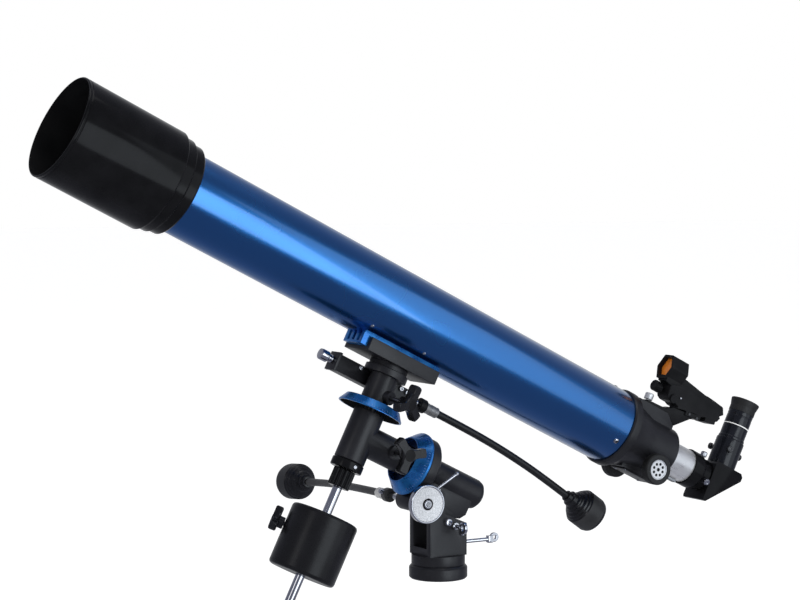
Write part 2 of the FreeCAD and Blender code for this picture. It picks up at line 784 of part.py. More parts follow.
def routed(points):
    """Straight runs through the points, joined by arcs as large as the runs allow."""
    edges = []
    radii = []
    start = points[0]
    for before, corner, after in zip(points, points[1:], points[2:]):
        way_in = (corner - before).normalize()
        way_out = (after - corner).normalize()
        turn = way_in.getAngle(way_out)
        reach = 0.45 * min((corner - before).Length, (after - corner).Length)
        radius = reach / math.tan(turn / 2)
        first = corner - way_in * reach
        last = corner + way_out * reach
        inward = (way_out - way_in).normalize()
        gap = radius / math.cos(turn / 2) - radius
        edges.append(Part.LineSegment(start, first).toShape())
        edges.append(Part.Arc(first, corner + inward * gap, last).toShape())
        radii.append(radius)
        start = last
    edges.append(Part.LineSegment(start, points[-1]).toShape())
    return Part.Wire(edges), radii


def make_cable(label, route):
    """A plain tube along its route, in head coordinates."""
    points = [HEAD.multVec(Vector(*point)) for point in route]
    path, radii = routed(points)
    direction = (points[1] - points[0]).normalize()
    radius = size.cable_od.value / 2
    section = Part.Wire([Part.Circle(points[0], direction, radius).toShape()])
    solid = path.makePipeShell([section], True, False)
    item = doc.addObject("Part::Feature", label)
    item.Label = label
    item.Shape = solid
    expected = math.pi * radius ** 2 * path.Length
    print(f"{label}: {path.Length:.1f} mm long, volume {solid.Volume / expected:.4f} of its section,",
          "bend radii", [round(value) for value in radii])


def make_dec_cable():
    out = -size.dec_worm_out.value
    up = size.dec_worm_up.value
    cable_clamp("dec_cable_clamp", head(out, up, -76, "back"))
    make_cable("dec_cable", DEC_CABLE)
    last = Vector(*DEC_CABLE[-1])
    way = (last - Vector(*DEC_CABLE[-2])).normalize()
    cable_knob("dec_cable_knob", head(last.x, last.y, last.z, (way.x, way.y, way.z)))


def make_dec_housing():
    """The T-shaped casting: the declination tube, the stub on the polar axis and its shaft."""
    tube_radius = size.dec_tube_od / 2
    upright = turned("dec_upright", [
        (0, -32), (tube_radius - 0.6, -32), (tube_radius, -31), (tube_radius, 33), (tube_radius - 1, 34),
        (0, 34),
    ], head(0, 0, 0, "up"))
    stub = rod("ra_stub", size.ra_tube_od, 80, head(0, 0, -80))
    shaft = rod("ra_shaft", size.ra_shaft_od, 106, head(0, 0, -184))
    boss = rod("ra_lock_boss", 17, 26, head(0, 0, RA_KNOB_ALONG, "x"))
    bore = rod("dec_bore", size.dec_shaft_od + 0.1, 80, head(0, -36, 0, "up"))
    hole = rod("ra_lock_hole", 6.4, 30, head(12, 0, RA_KNOB_ALONG, "x"))
    cut("dec_housing", fused("dec_housing_body", upright, stub, shaft, boss), bore, hole)


RA_KNOB_ALONG = -43.0


def make_collar_and_nut():
    shaft = size.dec_shaft_od / 2 + 0.05
    turned("shaft_collar", [
        (shaft, 0), (19.6, 0), (20.6, 1), (20.6, 10), (19.6, 11), (shaft, 11),
    ], head(0, -43.5, 0, "up"))
    core = turned("shaft_nut_core", [
        (size.bar_od / 2 + 0.05, 0), (13.6, 0), (14.2, 1), (14.2, 23), (shaft, 23), (shaft, 17),
        (size.bar_od / 2 + 0.05, 17),
    ], head(0, -67, 0, "up"))
    flutes = [
        rod(f"nut_flute_{index}", 3.4, 26, head(x, -68, along, "up"))
        for index, (x, along) in enumerate(circle_points(12, 15.0))
    ]
    cut("shaft_nut", core, *flutes)


def make_counterweight():
    bar = size.bar_od / 2
    radius = size.weight_od / 2
    turned("counterweight_shaft", [
        (0, 0), (bar - 0.8, 0), (bar, 0.8), (bar, size.bar_end - 51), (0, size.bar_end - 51),
    ], head(0, -size.bar_end.value, 0, "up"))
    low = size.weight_top.value + size.weight_length.value
    corners = [
        (bar + 0.3, 0), (radius - 4, 0), (radius - 1.2, 1.2), (radius, 4), (radius, size.weight_length - 4),
        (radius - 1.2, size.weight_length - 1.2), (radius - 4, size.weight_length),
        (bar + 0.3, size.weight_length),
    ]
    base = turned("weight_solid", corners, head(0, -low, 0, "up"))
    screw_up = -size.weight_top.value - WEIGHT_SCREW_DOWN
    hole = rod("weight_hole", 6.6, 60, head(0, screw_up, 0, WEIGHT_SCREW_DIRECTION))
    cut("counterweight", base, hole)
    start = Vector(*WEIGHT_SCREW_DIRECTION) * (bar.value + 1)
    lobed_knob("counterweight_knob", head(start.x, screw_up, start.z, WEIGHT_SCREW_DIRECTION), 43.0, 10.0,
               size.lobed_knob_od * 0.37)
    turned("safety_screw", [
        (0, 0), (9, 0), (10, 1), (10, 7), (14, 8), (14, 10.5), (0, 10.5),
    ], head(0, -size.bar_end.value - 10.6, 0, "up"))


WEIGHT_SCREW_DOWN = 30.0
WEIGHT_SCREW_DIRECTION = (-0.483, 0.0, 0.875)


# ---- right-ascension axis -----------------------------------------------------------------------

def make_ra_circle():
    """A dished cone, widest beside the worm wheel and open towards the declination tube."""
    radius = size.ra_circle_od / 2
    bore = size.ra_shaft_od / 2 + 0.4
    corners = [
        (bore, 0), (radius - 2.5, 0), (radius, 1), (radius, 3.5), (radius - 11.5, 17.6),
        (radius - 13, 17.6), (radius - 13.5, 16.5), (radius - 9, 6), (bore, 6),
    ]
    turned("ra_circle", corners, head(0, 0, -87.9))


def make_ra_knob():
    lobed_knob("ra_lock_knob", head(14, 0, RA_KNOB_ALONG, "x"), 34.0, first=30.0)


def make_polar_housing():
    """Worm-wheel case, polar tube with its rounded end, worm boss and the lug the fork clamps."""
    case = size.wheel_case_od / 2
    barrel = size.polar_tube_od / 2
    shell = turned("polar_shell", [
        (0, 0), (barrel - 6, 0), (barrel - 1.5, 4), (barrel, 9), (barrel, 89.4), (case - 3, 89.4),
        (case, 92.4), (case, 104), (case - 1, 105), (0, 105),
    ], head(0, 0, -193.5))
    drop = -size.ra_worm_drop.value
    back = -size.ra_worm_back.value
    worm_boss = rod("worm_boss", 26, 31, head(-15.5, drop, back, "x"))
    worm_neck = rod("worm_neck", 11, 20, head(12, drop, back, "x"))
    web = block("worm_web", 31, 24, 22, head(0, -34, -115))
    lug = make_lug()
    pin_hole = rod("lug_hole", size.pivot_od + 0.1, 60,
                   world(-30, size.pivot_forward, size.pivot_height, (1, 0, 0), (0, 1, 0)))
    shaft_bore = rod("polar_bore", size.ra_shaft_od + 0.1, 98, head(0, 0, -185))
    worm_bore = rod("worm_bore", size.worm_od + 0.2, 80,
                    head(-40, -size.ra_worm_drop.value, -size.ra_worm_back.value, "x"))
    solid = fused("polar_body", shell, worm_boss, worm_neck, web, lug)
    cut("polar_housing", solid, pin_hole, shaft_bore, worm_bore)


def make_lug():
    """The plate below the polar tube, drawn in world Y and Z and as thick as the fork's gap."""
    gap = size.fork_width.value - 2 * size.cheek_thickness.value - 0.8
    y = size.pivot_forward.value
    z = size.pivot_height.value
    corners = [
        (y - 15, z + 2), (y - 11, z + 18), (y + 20, z + 26), (y + 59, z - 4), (y + 49, z - 23),
        (y + 40, z - 27), (y + 10, z - 22), (y - 4, z - 15),
    ]
    return milled("polar_lug", corners, gap, world(-gap / 2, 0, 0, (1, 0, 0), (0, 1, 0)))


def make_ra_worm():
    drop = -size.ra_worm_drop.value
    back = -size.ra_worm_back.value
    rod("ra_worm_shaft", size.worm_od, 86, head(-54, drop, back, "x"))
    turned("worm_end_cap", [
        (0, 0), (6, 0), (6, 3), (23.3, 3), (24.3, 4), (24.3, 10), (23.3, 11), (6.0, 11), (6.0, 10.2),
        (0, 10.2),
    ], head(32.1, drop, back, "x"))
    cable_clamp("ra_cable_clamp", head(-50, drop, back, "side"))
    make_cable("ra_cable", RA_CABLE)
    last = Vector(*RA_CABLE[-1])
    way = (last - Vector(*RA_CABLE[-2])).normalize()
    cable_knob("ra_cable_knob", head(last.x, last.y, last.z, (way.x, way.y, way.z)))


# ---- fork, latitude clamp and azimuth base ------------------------------------------------------

def make_fork():
    """Two cheeks on a round foot; the polar housing's lug turns between them."""
    y = size.pivot_forward.value
    z = size.pivot_height.value
    half = size.fork_width.value / 2
    low = size.base_height.value + 0.1
    corners = [
        (-27, low + 12), (27, low + 12), (27, z - 31.4), (y + 13, z - 18), (y + 12, z + 9, 15.0),
        (y - 12, z - 9), (-27, z - 16),
    ]
    block_solid = milled("fork_block", corners, size.fork_width, world(-half, 0, 0, (1, 0, 0), (0, 1, 0)))
    foot = rod("fork_foot", size.base_od - 6, 12.5, world(0, 0, low))
    gap_width = size.fork_width - size.cheek_thickness * 2
    gap = block("fork_gap", gap_width, 80, 120, world(0, 0, low + 22))
    pin_hole = rod("fork_pin_hole", size.pivot_od + 0.1, 80,
                   world(-40, y, z, (1, 0, 0), (0, 1, 0)))
    bolt_hole = rod("fork_bolt_hole", 5.2, 80, world(-40, FORK_BOLT[0], FORK_BOLT[1], (1, 0, 0), (0, 1, 0)))
    wing_hole = rod("fork_wing_hole", 5.2, 30, world(10, WING_BOLT[0], WING_BOLT[1], (1, 0, 0), (0, 1, 0)))
    azimuth_hole = rod("fork_azimuth_hole", 5.2, 60, world(0, 8, AZIMUTH_BOLT_Z, (0, 1, 0)))
    stud = rod("fork_stud_hole", size.tripod_bolt_od + 0.1, 60, world(0, 0, 0))
    solid = cut("fork_cheeks", fused("fork_body", block_solid, foot), gap)
    cut("fork", solid, pin_hole, bolt_hole, wing_hole, azimuth_hole, stud)


FORK_BOLT = (-1.5, 73.7)
WING_BOLT = (9.5, 67.8)
AZIMUTH_BOLT_Z = 42.3


def across(start, y, z):
    """A place in the world frame whose own Z runs along +X."""
    return world(start, y, z, (1, 0, 0), (0, 1, 0))


def make_latitude_clamp():
    """The lever's hub on the pivot's spacer: turning it squeezes the cheeks on the lug."""
    y = size.pivot_forward.value
    z = size.pivot_height.value
    near = size.fork_width.value / 2
    bore = size.pivot_od / 2 + 0.1
    middle = near + CLAMP_OUT + CLAMP_THICKNESS / 2
    hub = turned("clamp_hub", [
        (bore, 0), (7.4, 0), (8, 0.6), (8, CLAMP_THICKNESS - 0.6), (7.4, CLAMP_THICKNESS),
        (bore, CLAMP_THICKNESS),
    ], across(near + CLAMP_OUT, y, z))
    arm = block("clamp_arm", CLAMP_THICKNESS, 10, 9, world(middle, y - 3, z + 6))
    way = Vector(0, 0.874, 0.486)
    start = Vector(middle, y - 7, z + 13.4)
    end = start + way * 39
    lever = rod("clamp_rod", 3.8, 39, world(start.x, start.y, start.z, (way.x, way.y, way.z)))
    tip = ball("clamp_tip", 5.2, world(end.x, end.y, end.z))
    fused("latitude_lever", hub, arm, lever, tip)


CLAMP_OUT = 3.2
CLAMP_THICKNESS = 4.0


def wing_bolt():
    """A bolt through the near cheek with a flat ring for a grip and a short second wing."""
    shank = rod("wing_shank", 5.0, 24, across(16, *WING_BOLT))
    collar = rod("wing_collar", 9, 3, across(25.3, *WING_BOLT))
    grip = world(45, WING_BOLT[0] - 1.8, WING_BOLT[1], (0, 1, 0))
    outer = rod("wing_outer", 15, 3.6, grip)
    inner = rod("wing_inner", 7, 5.6, grip.multiply(lifted(-1)))
    wing = block("wing_second", 7, 3.6, 9, world(40, WING_BOLT[0], WING_BOLT[1] - 9.5))
    cut("latitude_bolt", fused("wing_solid", shank, collar, outer, wing), inner)


def azimuth_bolt():
    """A long thin bolt from the fork's rear, with a block and a pierced grip on its end."""
    place = world(0, 16, AZIMUTH_BOLT_Z, (0, 1, 0))
    shank = rod("azimuth_shank", 5.0, 62, place)
    lump = block("azimuth_lump", 7, 9, 7, place.multiply(lifted(58)))
    grip = world(-2, 16 + 58 + 10, AZIMUTH_BOLT_Z + 2, (1, 0, 0), (0, 1, 0))
    outer = rod("azimuth_outer", 12, 4, grip)
    inner = rod("azimuth_inner", 5, 6, grip.multiply(lifted(-1)))
    cut("azimuth_bolt", fused("azimuth_solid", shank, lump, outer), inner)


def make_fork_bolts():
    """The pivot that the polar housing tilts on, with its spacer, and the bolt that ties the cheeks."""
    half = size.fork_width.value / 2
    width = size.fork_width.value
    pivot = size.pivot_od / 2
    face = 5.1 + width
    end = face + CLAMP_OUT + CLAMP_THICKNESS + 0.4
    pin = turned("pivot_pin", [
        (0, 0), (8.5, 0), (8.5, 5), (pivot, 5), (pivot, face + 0.1), (8, face + 0.1),
        (8, face + CLAMP_OUT - 0.1), (pivot, face + CLAMP_OUT - 0.1), (pivot, end), (pivot - 1, end + 1),
        (0, end + 1),
    ], across(-half - 5.1, size.pivot_forward.value, size.pivot_height.value))
    bolt = turned("tie_bolt", [
        (0, 0), (4.5, 0), (4.5, 4), (2.5, 4), (2.5, width + 4.6), (5.0, width + 4.6),
        (5.0, width + 8), (4.0, width + 9.4), (0, width + 9.4),
    ], across(-half - 4.3, *FORK_BOLT))
    group("fork_bolts", pin, bolt)


def make_base():
    """The round base that bolts to the tripod, with a centre stud that the fork turns on."""
    radius = size.base_od / 2
    stud = size.tripod_bolt_od / 2
    corners = [
        (4.2, 0), (radius - 2, 0), (radius, 2), (radius, 14), (radius - 4, 18), (stud, 18),
        (stud, 38), (4.2, 38),
    ]
    turned("azimuth_base", corners, world(0, 0, 0))


# ---- build, check and write ---------------------------------------------------------------------

NODES = [
    "main_tube", "dew_shield", "lens_cell", "objective_lenses", "tube_baffles",
    "tube_foot", "tube_screws", "focuser_housing", "drawtube", "focus_rack", "pinion_shaft",
    "pinion_cover", "focus_knob_near", "focus_knob_far", "drawtube_collar",
    "collar_thumbscrew_top", "collar_thumbscrew_side", "diagonal_housing", "diagonal_mirror",
    "socket_thumbscrew_near", "socket_thumbscrew_left", "socket_thumbscrew_right",
    "eyepiece_body", "eyepiece_lenses", "eyecup", "finder_bracket", "finder_thumbscrew",
    "finder_body", "finder_lens", "finder_knob",
    "saddle", "dec_head", "dec_worm_housing", "dec_worm_shaft", "dec_cable_clamp", "dec_cable",
    "dec_cable_knob", "dec_lock_knob", "dec_circle", "dec_housing", "shaft_collar", "shaft_nut",
    "counterweight_shaft", "counterweight", "counterweight_knob", "safety_screw",
    "ra_circle", "ra_lock_knob", "polar_housing", "ra_worm_shaft", "worm_end_cap",
    "ra_cable_clamp", "ra_cable", "ra_cable_knob",
    "latitude_lever", "latitude_bolt", "fork", "fork_bolts", "azimuth_base", "azimuth_bolt",
]


def build():
    make_tube()
    make_cell()
    make_lenses()
    make_baffles()
    make_foot()
    make_tube_screws()
    make_housing()
    make_drawtube()
    make_rack()
    make_pinion()
    make_focus_knobs()
    make_collar()
    make_diagonal()
    make_socket_screws()
    make_eyepiece()
    make_finder()
    make_saddle()
    make_dec_head()
    make_dec_knob()
    make_dec_circle()
    make_dec_worm()
    make_dec_cable()
    make_dec_housing()
    make_collar_and_nut()
    make_counterweight()
    make_ra_circle()
    make_ra_knob()
    make_polar_housing()
    make_ra_worm()
    make_fork()
    make_latitude_clamp()
    make_fork_bolts()
    wing_bolt()
    azimuth_bolt()
    make_base()
    doc.recompute()


def check():
    """Stops if any object failed or any node's shape is missing, broken or empty."""
    failed = [item.Name for item in doc.Objects if {"Invalid", "Error"} & set(item.State)]
    if failed:
        raise RuntimeError("failed objects: " + ", ".join(failed))
    for name in NODES:
        shape = doc.getObject(name).Shape
        if shape.isNull() or not shape.isValid() or not shape.Solids:
            raise RuntimeError("bad shape: " + name)


def write():
    os.makedirs("parts", exist_ok=True)
    for name in NODES:
        item = doc.getObject(name)
        item.Shape.exportStep(f"parts/{item.Label}.step")
    print(len(NODES), "nodes written")


build()
check()
write()
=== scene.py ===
"""The looks of a refractor telescope on an equatorial head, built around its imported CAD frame."""
import json
import math

import bmesh
import bpy
from mathutils import Matrix, Vector

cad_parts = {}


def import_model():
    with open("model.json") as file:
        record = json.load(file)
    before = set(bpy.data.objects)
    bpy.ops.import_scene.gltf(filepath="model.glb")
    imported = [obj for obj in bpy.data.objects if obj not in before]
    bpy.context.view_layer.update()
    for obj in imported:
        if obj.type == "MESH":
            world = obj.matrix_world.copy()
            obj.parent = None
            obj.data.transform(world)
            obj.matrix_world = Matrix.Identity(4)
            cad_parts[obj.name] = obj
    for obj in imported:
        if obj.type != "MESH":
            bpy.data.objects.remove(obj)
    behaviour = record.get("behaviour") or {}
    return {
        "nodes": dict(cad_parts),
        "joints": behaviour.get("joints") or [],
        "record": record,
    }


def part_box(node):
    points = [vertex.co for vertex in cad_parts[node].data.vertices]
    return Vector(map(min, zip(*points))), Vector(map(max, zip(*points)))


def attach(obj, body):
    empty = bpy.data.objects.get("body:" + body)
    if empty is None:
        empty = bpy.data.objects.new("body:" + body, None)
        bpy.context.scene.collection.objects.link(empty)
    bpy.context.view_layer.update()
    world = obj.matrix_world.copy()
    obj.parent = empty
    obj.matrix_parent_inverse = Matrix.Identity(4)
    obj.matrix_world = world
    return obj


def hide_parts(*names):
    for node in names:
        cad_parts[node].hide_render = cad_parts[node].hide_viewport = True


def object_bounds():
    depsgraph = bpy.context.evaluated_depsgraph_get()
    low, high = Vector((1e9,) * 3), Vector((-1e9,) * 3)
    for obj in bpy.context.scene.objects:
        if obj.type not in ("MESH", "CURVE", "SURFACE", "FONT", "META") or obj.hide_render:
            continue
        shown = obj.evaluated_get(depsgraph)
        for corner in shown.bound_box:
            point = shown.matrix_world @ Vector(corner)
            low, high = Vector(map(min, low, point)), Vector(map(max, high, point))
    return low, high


MM = 0.001
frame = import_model()
cad_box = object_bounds()
nodes = frame["nodes"]
node_body = {}
for body_name, members in frame["record"]["behaviour"]["bodies"].items():
    for member in members:
        node_body[member] = body_name


def joint(name):
    return next(item for item in frame["joints"] if item["name"] == name)


# ---- frames: the head frame sits where the axes cross, the tube frame on the optical axis ----

CROSSING = Vector(joint("ra_turn")["pos_m"])
ALONG = Vector(joint("ra_turn")["axis"])
UP = Vector(joint("dec_turn")["axis"])
ACROSS = Vector((1, 0, 0))
tube_low, tube_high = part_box("main_tube")
AXIS_GAP = ((tube_low + tube_high) / 2 - CROSSING).dot(UP) / MM
TUBE_RADIUS = 50.0
SOCKET_ALONG = -541
SKIN = 0.02


def frame_at(origin, direction, hint=None):
    """A placing matrix whose Z runs along direction and whose X lies near hint."""
    z = Vector(direction).normalized()
    if hint is None:
        hint = ACROSS if abs(z.dot(ACROSS)) < 0.8 else -ALONG
    y = z.cross(Vector(hint)).normalized()
    x = y.cross(z)
    turn = Matrix((x, y, z)).transposed().to_4x4()
    return Matrix.Translation(origin) @ turn


def spot(x, up, along):
    """A point in the head frame, given in millimetres."""
    return CROSSING + (ACROSS * x + UP * up + ALONG * along) * MM


def head(x, up, along, direction=(0, 0, 1)):
    """A placing matrix in the head frame: across, away from the polar axis, along it."""
    way = ACROSS * direction[0] + UP * direction[1] + ALONG * direction[2]
    return frame_at(spot(x, up, along), way)


def tube(x, up, along, direction=(0, 0, 1)):
    """A placing matrix in the tube frame, whose heights are counted from the optical axis."""
    return head(x, AXIS_GAP + up, along, direction)


def world(x, y, z, direction=(0, 0, 1)):
    """A placing matrix in the part's own frame, given in millimetres."""
    return frame_at(Vector((x, y, z)) * MM, direction)


OPTICAL_AXIS = tube(0, 0, 0)
EYEPIECE_AXIS = tube(0, 0, SOCKET_ALONG, (0, 1, 0))
POLAR_AXIS = head(0, 0, 0)
DEC_AXIS = head(0, 0, 0, (0, 1, 0))


# ---- materials ----

def shader(name):
    """A new material, its tree and its shader node."""
    material = bpy.data.materials.new(name)
    material.use_nodes = True
    tree = material.node_tree
    return material, tree, tree.nodes["Principled BSDF"]


def link(tree, source, target):
    tree.links.new(source, target)


def noise(tree, scale, detail=4.0, stretch=None):
    """Noise in object space, drawn out along an axis where stretch is given."""
    place = tree.nodes.new("ShaderNodeTexCoord")
    texture = tree.nodes.new("ShaderNodeTexNoise")
    texture.inputs["Scale"].default_value = scale
    texture.inputs["Detail"].default_value = detail
    if stretch is None:
        link(tree, place.outputs["Object"], texture.inputs["Vector"])
    else:
        mapping = tree.nodes.new("ShaderNodeMapping")
        mapping.inputs["Scale"].default_value = stretch
        link(tree, place.outputs["Object"], mapping.inputs["Vector"])
        link(tree, mapping.outputs["Vector"], texture.inputs["Vector"])
    return texture


def ramp(tree, source, stops):
    """Colours along a value, as (place, colour) stops."""
    item = tree.nodes.new("ShaderNodeValToRGB")
    elements = item.color_ramp.elements
    while len(elements) < len(stops):
        elements.new(0.5)
    for element, (place, colour) in zip(elements, stops):
        element.position = place
        element.color = (*colour, 1.0)
    link(tree, source, item.inputs["Fac"])
    return item


def bump(tree, principled, height, strength, distance):
    item = tree.nodes.new("ShaderNodeBump")
    item.inputs["Strength"].default_value = strength
    item.inputs["Distance"].default_value = distance
    link(tree, height, item.inputs["Height"])
    link(tree, item.outputs["Normal"], principled.inputs["Normal"])


def vary_roughness(tree, principled, source, low, high):
    """Roughness that follows a noise between two levels."""
    item = tree.nodes.new("ShaderNodeMapRange")
    item.inputs["From Min"].default_value = 0.3
    item.inputs["From Max"].default_value = 0.7
    item.inputs["To Min"].default_value = low
    item.inputs["To Max"].default_value = high
    link(tree, source, item.inputs["Value"])
    link(tree, item.outputs["Result"], principled.inputs["Roughness"])


def surface(name, dark, light, metallic, rough, grain, grain_bump=0.0, coat=0.0, coat_rough=0.05,
            detail=5.0, specular=0.5):
    """A finish with mottled colour, uneven gloss and a fine grain."""
    material, tree, principled = shader(name)
    broad = noise(tree, 35.0, 3.0)
    tone = ramp(tree, broad.outputs["Fac"], [(0.3, dark), (0.7, light)])
    link(tree, tone.outputs["Color"], principled.inputs["Base Color"])
    principled.inputs["Metallic"].default_value = metallic
    principled.inputs["Specular IOR Level"].default_value = specular
    fine = noise(tree, grain, detail)
    vary_roughness(tree, principled, fine.outputs["Fac"], rough[0], rough[1])
    if grain_bump:
        bump(tree, principled, fine.outputs["Fac"], grain_bump, 0.0002)
    principled.inputs["Coat Weight"].default_value = coat
    principled.inputs["Coat Roughness"].default_value = coat_rough
    return material


def tube_paint():
    """Metallic blue lacquer: fine flake under a clear coat, with the faint long marks of polishing."""
    material, tree, principled = shader("blue_lacquer")
    flake = noise(tree, 2600.0, 2.0)
    tone = ramp(tree, flake.outputs["Fac"], [(0.35, (0.028, 0.185, 0.53)), (0.68, (0.038, 0.245, 0.66))])
    link(tree, tone.outputs["Color"], principled.inputs["Base Color"])
    principled.inputs["Metallic"].default_value = 1.0
    streak = noise(tree, 9.0, 3.0)
    vary_roughness(tree, principled, streak.outputs["Fac"], 0.23, 0.29)
    ripple = noise(tree, 14.0, 1.0)
    bump(tree, principled, ripple.outputs["Fac"], 0.02, 0.0004)
    principled.inputs["Coat Weight"].default_value = 1.0
    principled.inputs["Coat Roughness"].default_value = 0.09
    return material


def dial_blue():
    """Bright blue dial metal, mottled, under a thin coat."""
    material, tree, principled = shader("dial_blue")
    broad = noise(tree, 60.0, 4.0)
    tone = ramp(tree, broad.outputs["Fac"], [(0.3, (0.010, 0.13, 0.46)), (0.7, (0.04, 0.29, 0.76))])
    link(tree, tone.outputs["Color"], principled.inputs["Base Color"])
    principled.inputs["Metallic"].default_value = 0.75
    vary_roughness(tree, principled, broad.outputs["Fac"], 0.22, 0.36)
    fine = noise(tree, 900.0, 3.0)
    bump(tree, principled, fine.outputs["Fac"], 0.08, 0.0001)
    principled.inputs["Coat Weight"].default_value = 0.4
    return material


def brushed(name, colour, rough, stretch, metallic=1.0):
    """Bright metal with fine lines drawn along one axis."""
    material, tree, principled = shader(name)
    lines = noise(tree, 60.0, 6.0, stretch)
    tone = ramp(tree, lines.outputs["Fac"], [
        (0.25, tuple(channel * 0.82 for channel in colour)), (0.75, colour)])
    link(tree, tone.outputs["Color"], principled.inputs["Base Color"])
    principled.inputs["Metallic"].default_value = metallic
    vary_roughness(tree, principled, lines.outputs["Fac"], rough * 0.7, rough * 1.3)
    bump(tree, principled, lines.outputs["Fac"], 0.06, 0.0001)
    return material


def speckled(name, dark, light, scale):
    """Shot-blasted bright metal: small dents in a fine bump, and speckles of brighter and darker colour
    that are painted glints of those dents.
    """
    material, tree, principled = shader(name)
    dents_and_glints = noise(tree, scale, 2.0)
    # The colour's speckle is painted glints, following the same noise as the real dent bump.
    tone = ramp(tree, dents_and_glints.outputs["Fac"], [(0.38, dark), (0.6, light)])
    link(tree, tone.outputs["Color"], principled.inputs["Base Color"])
    principled.inputs["Metallic"].default_value = 0.6
    vary_roughness(tree, principled, dents_and_glints.outputs["Fac"], 0.3, 0.5)
    bump(tree, principled, dents_and_glints.outputs["Fac"], 0.5, 0.0003)
    return material


def coated_glass(name, tint, transmission, rough):
    """Tinted glass with a trace of dust under a greenish coating."""
    material, tree, principled = shader(name)
    dust = noise(tree, 400.0, 4.0)
    vary_roughness(tree, principled, dust.outputs["Fac"], rough, rough + 0.03)
    tone = ramp(tree, dust.outputs["Fac"], [(0.3, tuple(c * 0.95 for c in tint)), (0.7, tint)])
    link(tree, tone.outputs["Color"], principled.inputs["Base Color"])
    principled.inputs["Transmission Weight"].default_value = transmission
    principled.inputs["IOR"].default_value = 1.5
    principled.inputs["Coat Weight"].default_value = 0.5
    principled.inputs["Coat Tint"].default_value = (0.55, 0.8, 0.62, 1.0)
    return material


PAINT = tube_paint()
DIAL = dial_blue()
# The dark navy of the RA dial's middle recess is painted shade.
DIAL_RECESS_SHADE = surface("dial_recess_painted_shade", (0.008, 0.02, 0.07), (0.015, 0.035, 0.11), 0.5, (0.3, 0.45), 700, 0.1)
CASTING = surface("satin_casting", (0.008, 0.008, 0.010), (0.014, 0.014, 0.017), 0.0, (0.34, 0.46), 900,
                  0.30, coat=0.1, coat_rough=0.25, specular=0.45)
ENAMEL = surface("black_enamel", (0.0045, 0.0045, 0.005), (0.0075, 0.0075, 0.0085), 0.0, (0.12, 0.18), 1500,
                 0.02, specular=0.13)
MATT_BLACK = surface("matt_black", (0.003, 0.003, 0.0035), (0.006, 0.006, 0.0065), 0.0, (0.7, 0.85), 1200,
                     0.2,
                     specular=0.25)
PLASTIC = surface("moulded_plastic", (0.005, 0.005, 0.006), (0.010, 0.010, 0.011), 0.0, (0.34, 0.46), 1400,
                  0.25, specular=0.16)
KNOB_GLOSS = surface("knob_plastic", (0.006, 0.006, 0.007), (0.011, 0.011, 0.012), 0.0, (0.18, 0.26), 800,
                     0.05, specular=0.5)
KNURL = surface("knurled_plastic", (0.014, 0.014, 0.015), (0.028, 0.028, 0.030), 0.0, (0.4, 0.55), 1200,
                0.3)
RUBBER = surface("black_rubber", (0.008, 0.008, 0.008), (0.014, 0.014, 0.014), 0.0, (0.45, 0.62), 900, 0.25)
CHROME = surface("chrome", (0.62, 0.62, 0.64), (0.78, 0.78, 0.80), 1.0, (0.08, 0.16), 500, 0.03)
SILVER = speckled("blasted_silver", (0.50, 0.50, 0.51), (0.80, 0.80, 0.81), 1000)
SATIN = brushed("satin_chrome", (0.90, 0.90, 0.91), 0.34, (8.0, 1.0, 1.0), 0.75)
STEEL = brushed("turned_steel", (0.45, 0.45, 0.46), 0.3, (1.0, 6.0, 6.0))
SHEATH = surface("grey_sheath", (0.035, 0.035, 0.037), (0.06, 0.06, 0.062), 0.0, (0.35, 0.5), 500, 0.15)
BLACK_SHEATH = surface("black_sheath", (0.006, 0.006, 0.007), (0.011, 0.011, 0.012), 0.0, (0.28, 0.42), 500,
                       0.15)
FERRULE = surface("pale_ferrule", (0.5, 0.5, 0.5), (0.66, 0.66, 0.66), 0.3, (0.35, 0.5), 900, 0.15)
DARK_FERRULE = surface("grey_ferrule", (0.2, 0.2, 0.205), (0.3, 0.3, 0.305), 0.6, (0.3, 0.42), 900, 0.15)
WHITE_MARK = surface("white_mark", (0.72, 0.72, 0.70), (0.85, 0.85, 0.84), 0.0, (0.4, 0.5), 900, 0.05)
GLASS = coated_glass("coated_glass", (0.82, 0.95, 0.88), 0.95, 0.0)
AMBER = coated_glass("amber_glass", (1.0, 0.25, 0.035), 0.1, 0.12)
ANODISED = surface("anodised_black", (0.006, 0.0065, 0.009), (0.009, 0.010, 0.014), 0.0, (0.17, 0.24), 1300,
                   0.03,
                   coat=0.25, coat_rough=0.1, specular=0.3)
DARK_STEEL = surface("dark_steel", (0.05, 0.05, 0.052), (0.09, 0.09, 0.094), 0.8, (0.22, 0.34), 900, 0.1)
SCALE_MARK = surface("scale_mark", (0.14, 0.26, 0.62), (0.24, 0.38, 0.74), 0.2, (0.4, 0.5), 900, 0.05)
IRON = surface("painted_iron", (0.007, 0.007, 0.008), (0.010, 0.010, 0.012), 0.0, (0.26, 0.34), 700, 0.04,
               specular=0.25)
MIRROR = surface("mirror", (0.86, 0.87, 0.88), (0.9, 0.9, 0.9), 1.0, (0.01, 0.03), 300, 0.0)


# ---- mesh helpers ----

SHARP_ANGLE = 32.0

def finish_mesh(name, bm, material, angle=SHARP_ANGLE):
    """A linked object from a bmesh, smooth but for edges sharper than the angle."""
    mesh = bpy.data.meshes.new(name)
    bmesh.ops.recalc_face_normals(bm, faces=bm.faces)
    bm.to_mesh(mesh)
    bm.free()
    mesh.shade_smooth()
    mesh.set_sharp_from_angle(angle=math.radians(angle))
    piece = bpy.data.objects.new(name, mesh)
    bpy.context.scene.collection.objects.link(piece)
    for item in material if isinstance(material, (list, tuple)) else [material]:
        mesh.materials.append(item)
    return piece


